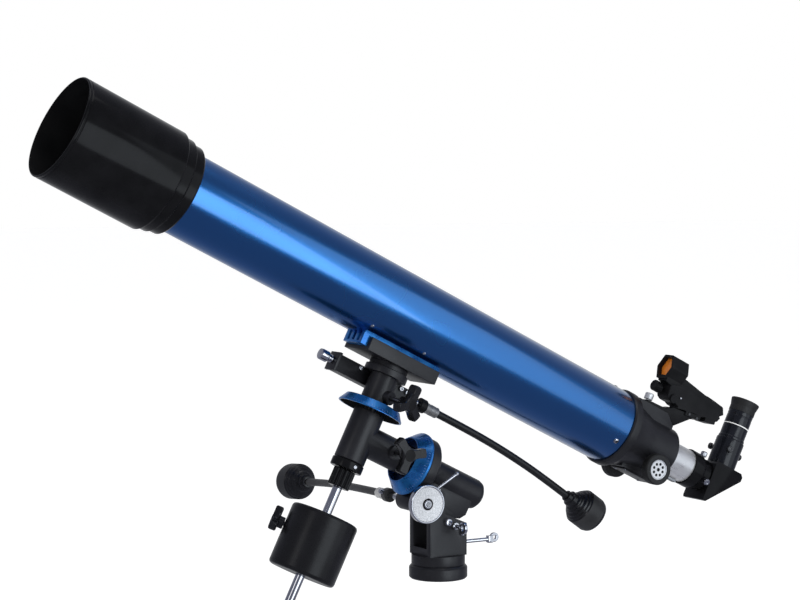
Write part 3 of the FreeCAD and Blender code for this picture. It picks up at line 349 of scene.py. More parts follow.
def rounded(outline, radius, closed=True, steps=3):
    """The outline with every corner turned into a small arc."""
    count = len(outline)
    result = []
    for index, corner in enumerate(outline):
        here = Vector(corner)
        if not closed and index in (0, count - 1):
            result.append(tuple(here))
            continue
        before = Vector(outline[index - 1]) - here
        after = Vector(outline[(index + 1) % count]) - here
        reach = min(radius, before.length * 0.45, after.length * 0.45)
        first = here + before.normalized() * reach
        last = here + after.normalized() * reach
        for step in range(steps + 1):
            share = step / steps
            point = first * (1 - share) ** 2 + here * 2 * share * (1 - share) + last * share ** 2
            result.append(tuple(point))
    return result


def lathe(name, outline, place, material, segments=128, radius=0.6, wave=None, closed=None, choose=None):
    """A turned piece from (radius, height) corners in millimetres.

    wave(turn, height, radius) may change a point's radius, for flutes and knurls; choose(radius,
    height) gives the number of the material that a ring of faces takes.
    """
    if closed is None:
        closed = outline[0][0] > 1e-6 or outline[-1][0] > 1e-6
    points = rounded(outline, radius, closed)
    bm = bmesh.new()
    rings = []
    for ring_radius, height in points:
        if ring_radius < 1e-6:
            rings.append([bm.verts.new(place @ Vector((0, 0, height * MM)))])
            continue
        ring = []
        for index in range(segments):
            turn = 2 * math.pi * index / segments
            reach = ring_radius if wave is None else wave(turn, height, ring_radius)
            local = Vector((math.cos(turn) * reach, math.sin(turn) * reach, height))
            ring.append(bm.verts.new(place @ (local * MM)))
        rings.append(ring)
    pairs = list(zip(range(len(rings)), range(1, len(rings))))
    if closed:
        pairs.append((len(rings) - 1, 0))
    for first, last in pairs:
        low, high = rings[first], rings[last]
        middle = [(a + b) / 2 for a, b in zip(points[first], points[last])]
        number = choose(*middle) if choose else 0
        if len(low) == 1 and len(high) == 1:
            continue
        for index in range(segments):
            after = (index + 1) % segments
            if len(low) == 1:
                face = bm.faces.new((low[0], high[index], high[after]))
            elif len(high) == 1:
                face = bm.faces.new((low[index], high[0], low[after]))
            else:
                face = bm.faces.new((low[index], high[index], high[after], low[after]))
            face.material_index = number
    return finish_mesh(name, bm, material)


def fluted(count, depth, low, high, fade):
    """Straight grooves round a rim between two heights, fading in and out at their ends."""
    def wave(turn, height, radius):
        inside = min(max((height - low) / fade, 0), 1) * min(max((high - height) / fade, 0), 1)
        return radius - depth * inside * (0.5 + 0.5 * math.cos(count * turn)) ** 2
    return wave


def dressed(node, material, bevel=0.6, name=None, angle=28.0):
    """The CAD node's own shape with its edges broken, as a piece that stands for the node."""
    bm = bmesh.new()
    bm.from_mesh(nodes[node].data)
    bmesh.ops.remove_doubles(bm, verts=bm.verts, dist=0.00002)
    bmesh.ops.dissolve_limit(bm, angle_limit=math.radians(0.8), verts=bm.verts, edges=bm.edges)
    mesh = bpy.data.meshes.new(node)
    bm.to_mesh(mesh)
    bm.free()
    mesh.materials.clear()
    mesh.materials.append(material)
    piece = bpy.data.objects.new(name or node + "_shell", mesh)
    bpy.context.scene.collection.objects.link(piece)
    if bevel:
        edge = piece.modifiers.new("edge", "BEVEL")
        edge.width = bevel * MM
        edge.segments = 3
        edge.limit_method = "ANGLE"
        edge.angle_limit = math.radians(angle)
        graph = bpy.context.evaluated_depsgraph_get()
        final = bpy.data.meshes.new_from_object(piece.evaluated_get(graph))
        piece.modifiers.clear()
        piece.data = final
    piece.data.shade_smooth()
    piece.data.set_sharp_from_angle(angle=math.radians(angle))
    return stands_for(piece, node)


def stands_for(piece, *names):
    """Puts the piece on its nodes' body, in place of their plain shapes."""
    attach(piece, node_body[names[0]])
    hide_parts(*names)
    return piece


def rides(piece, body):
    """Puts a piece that has no node of its own on a body."""
    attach(piece, body)
    return piece


def prism(name, outline, depth, place, material, radius=0.5, bevel=0.4):
    """A plate with the given outline, its own XY plane at one face, with broken edges."""
    points = rounded(outline, radius)
    bm = bmesh.new()
    low = [bm.verts.new(Vector((x, y, 0)) * MM) for x, y in points]
    high = [bm.verts.new(Vector((x, y, depth)) * MM) for x, y in points]
    bm.faces.new(low[::-1])
    bm.faces.new(high)
    count = len(points)
    for index in range(count):
        after = (index + 1) % count
        bm.faces.new((low[index], low[after], high[after], high[index]))
    if bevel:
        rims = [edge for edge in bm.edges if abs(edge.verts[0].co.z - edge.verts[1].co.z) < 1e-9]
        bmesh.ops.bevel(bm, geom=rims, offset=bevel * MM, segments=2, affect="EDGES", clamp_overlap=True)
    bm.transform(place)
    return finish_mesh(name, bm, material)


def joined(name, pieces):
    """Several meshes made into one piece."""
    bm = bmesh.new()
    materials = []
    for piece in pieces:
        start = len(bm.faces)
        numbers = []
        for item in piece.data.materials:
            if item not in materials:
                materials.append(item)
            numbers.append(materials.index(item))
        bm.from_mesh(piece.data)
        bm.faces.ensure_lookup_table()
        for face in bm.faces[start:]:
            face.material_index = numbers[face.material_index]
        bpy.data.objects.remove(piece)
    mesh = bpy.data.meshes.new(name)
    bm.to_mesh(mesh)
    bm.free()
    for item in materials:
        mesh.materials.append(item)
    mesh.set_sharp_from_angle(angle=math.radians(SHARP_ANGLE))
    piece = bpy.data.objects.new(name, mesh)
    bpy.context.scene.collection.objects.link(piece)
    return piece


def ring_band(inner, outer, low, high):
    """The outline of a plain ring."""
    return [(inner, low), (outer, low), (outer, high), (inner, high)]


def screw(name, diameter, height, place, material):
    """A screw head: a cap with a hexagonal socket in its top."""
    radius = diameter / 2
    socket = radius * 0.45
    outline = [
        (0, height * 0.4), (socket, height * 0.4), (socket, height), (radius * 0.85, height),
        (radius, height * 0.6), (radius, 0), (0, 0),
    ]

    def wave(turn, level, reach):
        if reach > socket * 1.3:
            return reach
        return reach * (1 + 0.1 * math.cos(6 * turn))
    return lathe(name, outline, place, material, 36, 0.25, wave)


# ---- camera, floor and light ----

FOCAL_LENGTH = 97.77
CAMERA_AWAY = Vector((2.3317, -1.3090, 0.3098))


def make_camera():
    """The camera stands off the scope's side, ahead of it and a little above the axes' crossing."""
    right = Vector((0.5060, 0.8625, 0.0)).normalized()
    back = Vector((0.8613, -0.5053, 0.0523)).normalized()
    above = back.cross(right).normalized()
    turn = Matrix((right, above, back)).transposed().to_4x4()
    camera = bpy.data.objects.new("camera", bpy.data.cameras.new("camera"))
    camera.data.sensor_width = 36.0
    camera.data.lens = FOCAL_LENGTH
    camera.data.clip_end = 60.0
    camera.matrix_world = Matrix.Translation(CROSSING + CAMERA_AWAY) @ turn
    bpy.context.scene.collection.objects.link(camera)
    bpy.context.scene.camera = camera
    return right, above, back


def area_light(name, place, target, size, power, colour=(1, 1, 1)):
    """A soft light at one place that faces another."""
    light = bpy.data.lights.new(name, "AREA")
    light.shape = "RECTANGLE"
    light.size, light.size_y = size
    light.energy = power
    light.color = colour
    item = bpy.data.objects.new(name, light)
    away = (Vector(place) - Vector(target)).normalized()
    item.matrix_world = frame_at(Vector(place), away, RIGHT)
    bpy.context.scene.collection.objects.link(item)


def make_studio():
    """Soft light from the white surround: pale behind the telescope, darker on the camera's side."""
    world_data = bpy.data.worlds.new("studio")
    bpy.context.scene.world = world_data
    world_data.use_nodes = True
    tree = world_data.node_tree
    mirrored = tree.nodes["Background"]
    mirrored.inputs["Strength"].default_value = 1.0
    place = tree.nodes.new("ShaderNodeTexCoord")
    behind = tree.nodes.new("ShaderNodeVectorMath")
    behind.operation = "DOT_PRODUCT"
    link(tree, place.outputs["Generated"], behind.inputs[0])
    behind.inputs[1].default_value = -BACK
    tone = ramp(tree, behind.outputs["Value"], [
        (0.0, (0.14, 0.15, 0.20)), (0.35, (0.17, 0.18, 0.24)), (0.75, (0.28, 0.29, 0.33)),
        (0.97, (0.55, 0.56, 0.58)),
    ])
    link(tree, tone.outputs["Color"], mirrored.inputs["Color"])
    paths = tree.nodes.new("ShaderNodeLightPath")
    last = mirrored
    for kind, level in (("Is Diffuse Ray", 0.75), ("Is Camera Ray", 1.0)):
        even = tree.nodes.new("ShaderNodeBackground")
        even.inputs["Color"].default_value = (1.0, 1.0, 1.0, 1.0)
        even.inputs["Strength"].default_value = level
        mix = tree.nodes.new("ShaderNodeMixShader")
        link(tree, paths.outputs[kind], mix.inputs["Fac"])
        link(tree, last.outputs[0], mix.inputs[1])
        link(tree, even.outputs["Background"], mix.inputs[2])
        last = mix
    link(tree, last.outputs[0], tree.nodes["World Output"].inputs["Surface"])


def make_floor():
    """A pale floor, well below the cut-off head, that fades into the surround."""
    mesh = bpy.data.meshes.new("floor")
    reach = 30.0
    level = cad_box[0][2] - 0.12
    mesh.from_pydata([(-reach, -reach, level), (reach, -reach, level), (reach, reach, level),
                      (-reach, reach, level)], [], [(0, 1, 2, 3)])
    floor = bpy.data.objects.new("floor", mesh)
    bpy.context.scene.collection.objects.link(floor)
    pale = surface("pale_floor", (0.80, 0.80, 0.80), (0.83, 0.83, 0.83), 0.0, (0.7, 0.8), 30, 0.02,
                   specular=0.2)
    glow = pale.node_tree.nodes["Principled BSDF"].inputs
    glow["Emission Color"].default_value = (1.0, 1.0, 1.0, 1.0)
    glow["Emission Strength"].default_value = 0.46
    mesh.materials.append(pale)
    floor.visible_glossy = False


RIGHT, ABOVE, BACK = make_camera()
bpy.context.scene.view_settings.view_transform = "Standard"
make_studio()
make_floor()
COOL = (0.86, 0.94, 1.0)
BESIDE = Vector((0.987, 0.156, 0.03))
BEHIND = Vector((0.725, 0.688, 0.0))
LIGHT_REACH = 2.7
TUBE_MIDDLE = CROSSING + UP * 0.12
area_light("side", CROSSING + BESIDE * LIGHT_REACH + UP * 0.05, TUBE_MIDDLE, (1.6, 2.1), 23, COOL)
area_light("far side", CROSSING + BEHIND * LIGHT_REACH + Vector((0, 0, 0.3)), TUBE_MIDDLE,
           (1.75, 2.7), 10.5, COOL)
area_light("overhead", CROSSING + Vector((0.1, 0.1, 2.3)), CROSSING + UP * 0.1, (2.2, 1.0), 8)
area_light("front", CROSSING + BACK * 2.2 - RIGHT * 1.7 + ABOVE * 1.0, CROSSING, (0.7, 0.9), 3.0)


# ---- cords ----

def cord(name, points, diameter, material):
    """A smooth tube whose spline is steered by the route's points, given in the head frame."""
    curve = bpy.data.curves.new(name, "CURVE")
    curve.dimensions = "3D"
    curve.bevel_depth = diameter / 2 * MM
    curve.bevel_resolution = 8
    curve.resolution_u = 24
    spline = curve.splines.new("NURBS")
    spline.points.add(len(points) - 1)
    for point, corner in zip(spline.points, points):
        point.co = (*spot(*corner), 1.0)
    spline.order_u = 3
    spline.use_endpoint_u = True
    curve.materials.append(material)
    piece = bpy.data.objects.new(name, curve)
    bpy.context.scene.collection.objects.link(piece)
    return piece


DEC_CABLE = [
    (-27.0, 75.5, -103.0), (-27.2, 75.3, -152.0), (-27.6, 73.9, -200.0), (-28.2, 70.6, -248.0),
    (-29.0, 65.4, -296.0), (-29.8, 58.6, -342.0),
]
RA_CABLE = [
    (-77.0, -42.0, -104.0), (-126.0, -42.3, -104.3), (-176.0, -43.6, -105.1), (-226.0, -46.1, -106.7),
    (-274.0, -49.9, -109.2),
]
dec_cable = stands_for(cord("dec_cable_sheath", DEC_CABLE, 10.0, BLACK_SHEATH), "dec_cable")
ra_cable = stands_for(cord("ra_cable_sheath", RA_CABLE, 10.0, SHEATH), "ra_cable")


# ---- optical tube ----

def make_tube():
    """The blue tube, the dew shield, the lens cell and the lens itself."""
    shell = lathe("tube_shell", ring_band(48.4, TUBE_RADIUS, -345.0, 365.0), OPTICAL_AXIS,
                  [PAINT, MATT_BLACK],
                  224, 0.3, choose=lambda radius, height: 0 if radius > 49.2 else 1)
    stands_for(shell, "main_tube")
    shield = lathe("shield_shell", [
        (61.6, 381.0), (63.0, 381.0), (63.8, 382.2), (63.8, 513.0), (63.2, 513.6), (63.2, 514.6),
        (63.8, 515.2),
        (63.8, 517.0), (62.9, 518.0), (61.6, 518.0),
    ], OPTICAL_AXIS, [ENAMEL, MATT_BLACK], 224, 0.4, choose=lambda radius,
    height: 0 if radius > 62.2 else 1)
    stands_for(shield, "dew_shield")
    cell = lathe("cell_shell", [
        (50.1, 353.0), (55.0, 353.0), (57.0, 355.2), (57.0, 366.0), (57.6, 367.0), (60.0, 368.4),
        (60.0, 380.8),
        (61.45, 380.8), (61.45, 393.0), (47.1, 393.0), (47.1, 373.0), (45.0, 373.0), (45.0, 365.2),
        (50.1, 365.2),
    ], OPTICAL_AXIS, ENAMEL, 224, 0.3)
    stands_for(cell, "lens_cell")
    glass = nodes["objective_lenses"]
    glass.data.materials.clear()
    glass.data.materials.append(GLASS)


def cross_screw(name, diameter, height, place, material):
    """A domed screw head whose cross cut is two thin matt-black strips laid over it: painted shade for the
    cut.
    """
    radius = diameter / 2
    outline = [(0, height), (radius * 0.5, height * 0.94), (radius * 0.86, height * 0.62),
               (radius, height * 0.2),
               (radius, 0), (0, 0)]
    head_piece = lathe(name, outline, place, material, 40, 0.2)
    # Dark strips on the dome: painted shade where the cross cut would be.
    cut_shade_strips = []
    for number in range(2):
        turn = Matrix.Rotation(math.radians(45 + 90 * number), 4, "Z")
        reach = radius * 0.62
        width = radius * 0.13
        cut_shade_strips.append(prism(f"{name}_slot_{number}",
                           [(-reach, -width), (reach, -width), (reach, width), (-reach, width)],
                           0.1, place @ turn @ Matrix.Translation((0, 0, (height + 0.01) * MM)), MATT_BLACK,
                           0.05, 0))
    return joined(name, [head_piece, *cut_shade_strips])


def on_tube(x, up, along):
    """A place on the tube's skin, facing out; x and up are the two parts of its direction."""
    reach = TUBE_RADIUS + SKIN
    return tube(x * reach, up * reach, along, (x, up, 0))


def make_tube_screws():
    """Three screws that hold the focuser in the tube, and four rivets of the tube's foot."""
    heads = []
    for number in range(3):
        turn = math.radians(-27.0 + 120 * number)
        place = on_tube(math.cos(turn), math.sin(turn), -331)
        heads.append(cross_screw(f"rear_screw_{number}", 7.5, 2.3, place, CHROME))
    sideways = 0.64
    for along in (61.0, -21.0):
        for side in (-1, 1):
            place = on_tube(side * sideways, -math.sqrt(1 - sideways ** 2), along)
            heads.append(lathe(f"rivet_{along}_{side}",
                               [(0, 1.4), (1.4, 1.25), (2.3, 0.7), (2.5, 0), (0, 0)], place,
                               CHROME, 32, 0.2))
    stands_for(joined("tube_screw_heads", heads), "tube_screws")


def carry_over(node, material):
    """Keeps the CAD node's shape and gives it a finish."""
    mesh = nodes[node].data
    mesh.materials.clear()
    mesh.materials.append(material)
    mesh.shade_smooth()
    mesh.set_sharp_from_angle(angle=math.radians(30))


make_tube()
make_tube_screws()
carry_over("tube_baffles", MATT_BLACK)
dressed("tube_foot", DIAL, 0.8)


# ---- focuser, diagonal and eyepiece ----

def thumbscrew(node, place, shank, head_length=7.0, head_width=9.0, material=CHROME):
    """A knurled thumbscrew that stands on its place, with its shank below it."""
    top = 2 + head_length
    reach = head_width / 2
    outline = [(0, -shank), (1.5, -shank), (1.5, 0), (2.6, 0), (2.6, 2), (reach - 0.3, 2.3),
               (reach, 2.9), (reach, top - 1.2), (reach - 0.9, top), (reach * 0.5, top),
               (reach * 0.42, top - 0.4), (0, top - 0.4)]
    piece = lathe(node + "_turned", outline, place, material, 144, 0.15,
                  fluted(36, 0.28, 2.9, top - 1.2, 0.3))
    return stands_for(piece, node)


def make_focuser():
    """The housing, the drawtube with its rack, and the two focus knobs."""
    dressed("focuser_housing", CASTING, 0.7)
    stands_for(lathe("drawtube_sleeve", ring_band(21.0, 23.0, -498.0, -320.0), OPTICAL_AXIS,
                     [SATIN, MATT_BLACK],
                     160, 0.3, choose=lambda radius, height: 0 if radius > 22 else 1), "drawtube")
    carry_over("focus_rack", STEEL)
    carry_over("pinion_shaft", STEEL)
    dressed("pinion_cover", CASTING, 0.5)
    screws = [cross_screw(f"cover_screw_{x}_{s}", 4.4, 0.9, tube(x, -45.05, s, (0, -1, 0)), CHROME)
              for x in (-11, 11) for s in (-428, -386)]
    rides(joined("cover_screws", screws), "tube")
    around = [2 * math.pi * number / 8 for number in range(8)]
    # The chrome insert's dimples are flat matt-black discs: painted shade standing in for their hollows.
    dimple_shade_spots = [(0, 0, 2.4)] + [(7.6 * math.cos(turn), 7.6 * math.sin(turn), 1.9) for turn in around]
    knob = [(2.55, 0), (9, 0), (9, 8), (18.5, 8), (20.5, 9.6), (20.5, 18.6), (19.0, 20.5), (13.5, 20.5),
            (13.5, 19.6), (12.6, 19.2), (0, 19.2), (0, 10.5), (2.55, 10.5)]
    for side, name in ((1, "near"), (-1, "far")):
        place = tube(side * 31.5, -31.0, -407, (side, 0, 0))
        rim = lathe(f"rim_{name}", knob, place, [RUBBER, SATIN], 200, 0.3, fluted(50, 0.5, 9.8, 18.4, 0.6),
                    choose=lambda radius, height: 1 if height > 18 and radius < 13.2 else 0)
        marks = [lathe(f"insert_dimple_shade_{name}_{number}", [(0, 19.3), (reach, 19.3), (reach, 19.1), (0, 19.1)],
                       place @ Matrix.Translation(Vector((x, y, 0)) * MM), MATT_BLACK, 32, 0.05)
                 for number, (x, y, reach) in enumerate(dimple_shade_spots)]
        bezel = lathe(f"insert_ring_{name}", [(11.6, 19.1), (11.8, 19.6), (12.5, 19.6), (12.7, 19.1)],
                      place, CHROME,
                      96, 0.1)
        stands_for(joined(f"focus_knob_{name}_turned", [rim, bezel, *marks]), f"focus_knob_{name}")


def make_collar():
    """The drawtube's end collar and its two thumbscrews; low is its rear face."""
    low = -515.4
    ring = lathe("collar_turned", [
        (15.95, low), (20.5, low), (22, low + 2), (22, low + 12.6), (24.6, low + 15.5), (25.2, low + 17),
        (25.2, low + 32.4), (24.6, low + 33), (23.05, low + 33), (23.05, low + 16.2), (15.95, low + 16.2),
    ], OPTICAL_AXIS, ENAMEL, 160, 0.4)
    stands_for(ring, "drawtube_collar")
    reach, along = 22.2, -507
    for name, (x, up) in (("top", (0, 1)), ("side", (0.94, -0.34))):
        thumbscrew(f"collar_thumbscrew_{name}", tube(x * reach, up * reach, along, (x, up, 0)), 6.0)


def make_diagonal():
    """The mirror box and, above it, the eyepiece socket, which has its own finish."""
    shell = dressed("diagonal_housing", ENAMEL, 0.9)
    shell.data.materials.append(ANODISED)
    box_top = spot(0, AXIS_GAP + 24.5, 0).dot(UP)
    for face in shell.data.polygons:
        face.material_index = 1 if face.center.dot(UP) > box_top else 0
    carry_over("diagonal_mirror", MIRROR)
    reach, up = 19.7, 47
    for name, angle in (("near", 29), ("left", 149), ("right", 269)):
        x, along = math.cos(math.radians(angle)), math.sin(math.radians(angle))
        place = tube(x * reach, up, SOCKET_ALONG + along * reach, (x, 0, along))
        thumbscrew(f"socket_thumbscrew_{name}", place, 1.8, 5.0, 9.0, DARK_STEEL)


def make_eyepiece():
    """The eyepiece, its white ring and its rubber cup; low is where it rests on the socket."""
    low = 63.1
    body = lathe("eyepiece_turned", [
        (13.5, low - 28), (15.875, low - 28), (15.875, low), (18.3, low), (18.3, low + 3), (17.5, low + 4),
        (17.5, low + 18.6), (17.2, low + 18.9), (17.2, low + 19.2), (17.5, low + 19.5), (17.5, low + 33),
        (17.0, low + 33.4), (17.0, low + 34.4), (17.5, low + 34.8), (17.5, low + 40), (15, low + 40),
        (15, low + 30), (13.5, low + 30),
    ], EYEPIECE_AXIS, [ANODISED, CHROME], 160, 0.25,
        choose=lambda radius, height: 1 if height < low - 0.5 and radius > 14 else 0)
    band = lathe("eyepiece_band", ring_band(17.15, 17.54, low + 19.6, low + 21.0), EYEPIECE_AXIS,
                 WHITE_MARK,
                 160, 0.05)
    stands_for(body, "eyepiece_body")
    rides(band, "eyepiece")
    cup = lathe("eyecup_moulded", [
        (10.5, low + 36), (14.9, low + 36), (14.9, low + 40), (17.9, low + 40), (17.9, low + 48),
        (18.6, low + 50.5),
        (19.9, low + 56.6), (19.6, low + 57.5), (18.8, low + 57.4), (17.6, low + 53), (16.2, low + 48),
        (15.8, low + 43),
        (10.5, low + 39),
    ], EYEPIECE_AXIS, RUBBER, 160, 0.4)
    stands_for(cup, "eyecup")
    carry_over("eyepiece_lenses", GLASS)


make_focuser()
make_collar()
make_diagonal()
make_eyepiece()


# ---- finder ----

def side_outline(face, points):
    """(along, up) points of the tube frame as seen on a plate that faces sideways."""
    corners = [face.inverted() @ tube(0, up, along).translation / MM for along, up in points]
    return [(corner.x, corner.y) for corner in corners]


FINDER_X = 5
WINDOW_X, WINDOW_UP = 3, 107


def finder_plate(name, points, width, bevel=0.8):
    """A slab of the finder's moulding, centred on it, with the given outline from the side."""
    outline = side_outline(tube(FINDER_X + width / 2, 0, 0, (1, 0, 0)), points)
    return prism(name, outline, width, tube(FINDER_X - width / 2, 0, 0, (1, 0, 0)), PLASTIC, 0.8, bevel)


def window_frame(name, inner, outer, low, high):
    """A six-sided frame round the finder's window, open at both ends."""
    rims = []
    for half, start in ((outer, low), (outer, high), (inner, high), (inner, low)):
        flat = half * 0.55
        corners = [(-flat, -half), (flat, -half), (half, 0), (flat, half), (-flat, half), (-half, 0)]
        rims.append([tube(WINDOW_X + x, WINDOW_UP + y, start).translation for x,
                     y in rounded(corners, 1.2)])
    bm = bmesh.new()
    rings = [[bm.verts.new(point) for point in ring] for ring in rims]
    for first, ring in enumerate(rings):
        following = rings[(first + 1) % len(rings)]
        for index in range(len(ring)):
            after = (index + 1) % len(ring)
            bm.faces.new((ring[index], ring[after], following[after], following[index]))
    return finish_mesh(name, bm, PLASTIC, 25)


def make_finder_body():
    """The bracket, the stepped moulding, the framed window and the thumbscrew on its foot."""
    dressed("finder_bracket", PLASTIC, 0.6)
    stands_for(joined("finder_moulding", [
        finder_plate("finder_base", [
            (-402, 70), (-408, 66.5), (-420, 66.5), (-422, 64.6), (-446, 64.2), (-448, 66.4), (-468, 67.4),
            (-470, 69.2), (-484, 70.6), (-494, 71.6), (-498, 78), (-490, 85), (-420, 92.6), (-401, 86),
        ], 24),
        finder_plate("finder_spine", [
            (-406, 82), (-490, 74), (-505, 86), (-499, 95), (-486, 96.3), (-462, 97.8), (-421, 103.6),
            (-406, 96),
        ], 14),
        finder_plate("finder_chin", [(-392, 88), (-408, 84), (-422, 91), (-420, 96), (-392, 96)], 18, 0.5),
        window_frame("finder_hood", 13.5, 16.9, -419, -390),
    ]), "finder_body")
    flat, half = 7.3, 13.3
    outline = [(-flat, -half), (flat, -half), (half, 0), (flat, half), (-flat, half), (-half, 0)]
    stands_for(prism("finder_window", outline, 1.6, tube(WINDOW_X, WINDOW_UP, -397.5), AMBER, 0.3, 0.2),
               "finder_lens")
    thumbscrew("finder_thumbscrew", tube(0, 54.2, -386, (0, 1, 0)), 3.0, 9.0, 12.0, SATIN)


def bar_outline(x, y, half_width, half_height):
    """A rectangle about (x, y)."""
    return [(x - half_width, y - half_height), (x + half_width, y - half_height),
            (x + half_width, y + half_height), (x - half_width, y + half_height)]


def make_finder_slot():
    """The sunk slot on the finder's ridge, with a raised rim round it."""
    ridge = tube(5, 96.6, -478, (0, 0.997, -0.077))
    rides(prism("finder_slot", bar_outline(0, 0, 4.2, 7.5), 0.25, ridge, MATT_BLACK, 0.8, 0.05), "tube")
    for name, x in (("near", 4.9), ("far", -4.9)):
        rides(prism("finder_slot_wall_" + name, bar_outline(x, 0, 0.6, 8.4), 1.0, ridge, PLASTIC, 0.2,
                    0.15), "tube")
    for along in (-8.4, 8.4):
        rides(prism(f"finder_slot_end_{along}", bar_outline(0, along, 5.4, 0.6), 1.0, ridge, PLASTIC, 0.2,
                    0.15), "tube")


def make_finder_fittings():
    """The blocks under the moulding, their screws, the brightness knob, the wheel and the pin."""
    face_x = 18.0
    side = tube(face_x, 0, 0, (1, 0, 0))
    for number, (name, low, high, drop, rise) in enumerate((
            ("clamp", -466, -440, 58.5, 64.5), ("cover", -492, -474, 63.5, 69.5),
            ("step", -438, -424, 61.5, 66))):
        outline = side_outline(side, ((low, drop + 3), (high, drop), (high, rise), (low, rise + 3)))
        deep = 24 - 3 * number
        rides(prism("finder_" + name, outline, deep, tube(face_x - deep - 0.8, 0, 0, (1, 0, 0)), PLASTIC,
                    0.5, 0.4),
              "tube")
    for number, along in enumerate((-446, -460)):
        rides(lathe(f"finder_clamp_screw_{number}", [(0, -1), (2.1, -1), (2.1, 0.8), (1.6, 1.2), (0, 1.2)],
                    tube(17.4, 62.4, along, (1, 0, 0)), DARK_STEEL, 40, 0.2), "tube")
    knob = lathe("finder_knob_turned", [
        (0, -407), (2, -407), (2, -399), (7.0, -399), (7.5, -398.4), (7.5, -388.2), (6.6, -387), (4, -387),
        (3.6, -387.6), (0, -387.6),
    ], tube(-2, 78.7, 0), PLASTIC, 144, 0.2, fluted(18, 0.5, -398.4, -388.2, 0.6))
    stands_for(knob, "finder_knob")
    wheel = lathe("finder_wheel", [(0, -1.4), (5.6, -1.4), (6.0, -1.0), (6.0, 1.0), (5.6, 1.4), (0, 1.4)],
                  tube(18.2, 70, -412, (1, 0, 0)), PLASTIC, 120, 0.2, fluted(30, 0.35, -1.0, 1.0, 0.3))
    rides(wheel, "tube")
    pin = lathe("finder_pin", [(0, 1.1), (1.0, 0.9), (1.5, 0.3), (1.5, -0.5), (0, -0.5)],
                tube(18.0, 75.7, -423, (1, 0, 0)),
                CHROME, 32, 0.1)
    rides(pin, "tube")


make_finder_body()
make_finder_slot()
make_finder_fittings()


# ---- knobs and clamps ----

def lobed(node, place, stem, thickness=12.0, outer=24.5, scallop_at=30.0):
    """A clamp knob whose three lobes are parted by deep scallops, domed on both faces."""
    bm = bmesh.new()
    count = 216
    core = outer * 0.38
    distance = outer * 1.22
    scallop = distance - core

    def edge(turn):
        """How far the grip reaches: to the rim, or to the nearest of the three scallops."""
        away = (turn - math.radians(scallop_at)) % (2 * math.pi / 3)
        away = min(away, 2 * math.pi / 3 - away)
        under = scallop ** 2 - (distance * math.sin(away)) ** 2
        if under <= 0 or away > math.pi / 3:
            return outer
        return min(outer, distance * math.cos(away) - math.sqrt(under))
    reaches = [edge(2 * math.pi * index / count) for index in range(count)]
    for _ in range(3):
        reaches = [(reaches[i - 1] + 2 * reaches[i] + reaches[(i + 1) % count]) / 4 for i in range(count)]
    levels = [(0.0, 2.0), (0.07, 0.8), (0.18, 0.1), (0.5, 0.0), (0.82, 0.1), (0.93, 0.8), (1.0, 2.0)]
    rings = []
    for share, inset in levels:
        ring = []
        for index in range(count):
            turn = 2 * math.pi * index / count
            local = Vector((math.cos(turn), math.sin(turn), 0)) * (reaches[index] - inset)
            local.z = stem + share * thickness
            ring.append(bm.verts.new(place @ (local * MM)))
        rings.append(ring)
    for low, high in zip(rings, rings[1:]):
        for index in range(count):
            after = (index + 1) % count
            bm.faces.new((low[index], low[after], high[after], high[index]))
    bm.faces.new(rings[0][::-1])
    bm.faces.new(rings[-1])
    grip = finish_mesh(node + "_grip", bm, KNOB_GLOSS, 40)
    top = stem + thickness
    cap = lathe(node + "_cap", [(0, top + 0.3), (core * 0.74, top + 0.3), (core * 0.82, top - 0.2),
                                (core * 0.82, top - 1.0), (0, top - 1.0)], place, PLASTIC, 72, 0.2)
    boss = lathe(node + "_boss", [(0, stem + 0.5), (7.5, stem + 0.5), (7.5, stem - 5.7), (6.8, stem - 6.5),
                                  (3, stem - 6.5),
                                  (3, 0), (0, 0)], place, [KNOB_GLOSS, STEEL], 72, 0.2,
                 choose=lambda radius, height: 1 if radius < 3.2 else 0)
    return stands_for(joined(node + "_moulded", [grip, cap, boss]), node)


lobed("dec_lock_knob", head(0.94 * 14, 57.5, -0.34 * 14, (0.94, 0, -0.34)), 34.0)
lobed("ra_lock_knob", head(14, 0, -43, (1, 0, 0)), 34.0, scallop_at=90.0)
lobed("counterweight_knob", head(-0.483 * 7, -134, 0.875 * 7, (-0.483, 0, 0.875)), 43.0, 10.0, 18.13)


def cable_clamp(node, place, sleeve, ferrule):
    """The clamp on the worm, its screw, and the crimped ferrule that the cable comes out of."""
    turned = lathe(node + "_sleeve", [
        (4.1, 0), (8.5, 0), (9, 0.6), (9, 9.4), (8.5, 10), (7, 10), (7, 15), (6.5, 15.5), (6.5, 17.5),
        (7, 18),
        (7, 24.5), (6.6, 25), (6.6, 26.4), (7, 27), (7, 29.4), (6.5, 30), (5.1, 30), (5.1, 14), (0, 14),
        (0, 12),
        (4.1, 12),
    ], place, [sleeve, ferrule], 96, 0.25, choose=lambda radius, height: 1 if height > 10.2 else 0)
    screw_place = place @ Matrix.Translation((0, 0, 5 * MM)) @ Matrix.Rotation(math.radians(-90), 4, "Y")
    screw_place = screw_place @ Matrix.Translation((0, 0, 9 * MM))
    grip = lathe(node + "_grip", [(0, -4), (1.5, -4), (1.5, 0), (2.6, 0), (2.6, 2), (3.2, 2.2), (3.5, 2.6),
                                  (3.5, 5.2),
                                  (2.7, 6), (0, 6)], screw_place, CHROME, 96, 0.15,
                                  fluted(24, 0.25, 2.6, 5.2, 0.3))
    return stands_for(joined(node + "_turned", [turned, grip]), node)


cable_clamp("dec_cable_clamp", head(-27, 75.5, -76, (0, 0, -1)), PLASTIC, DARK_FERRULE)
cable_clamp("ra_cable_clamp", head(-50, -42, -104, (-1, 0, 0)), SHEATH, FERRULE)


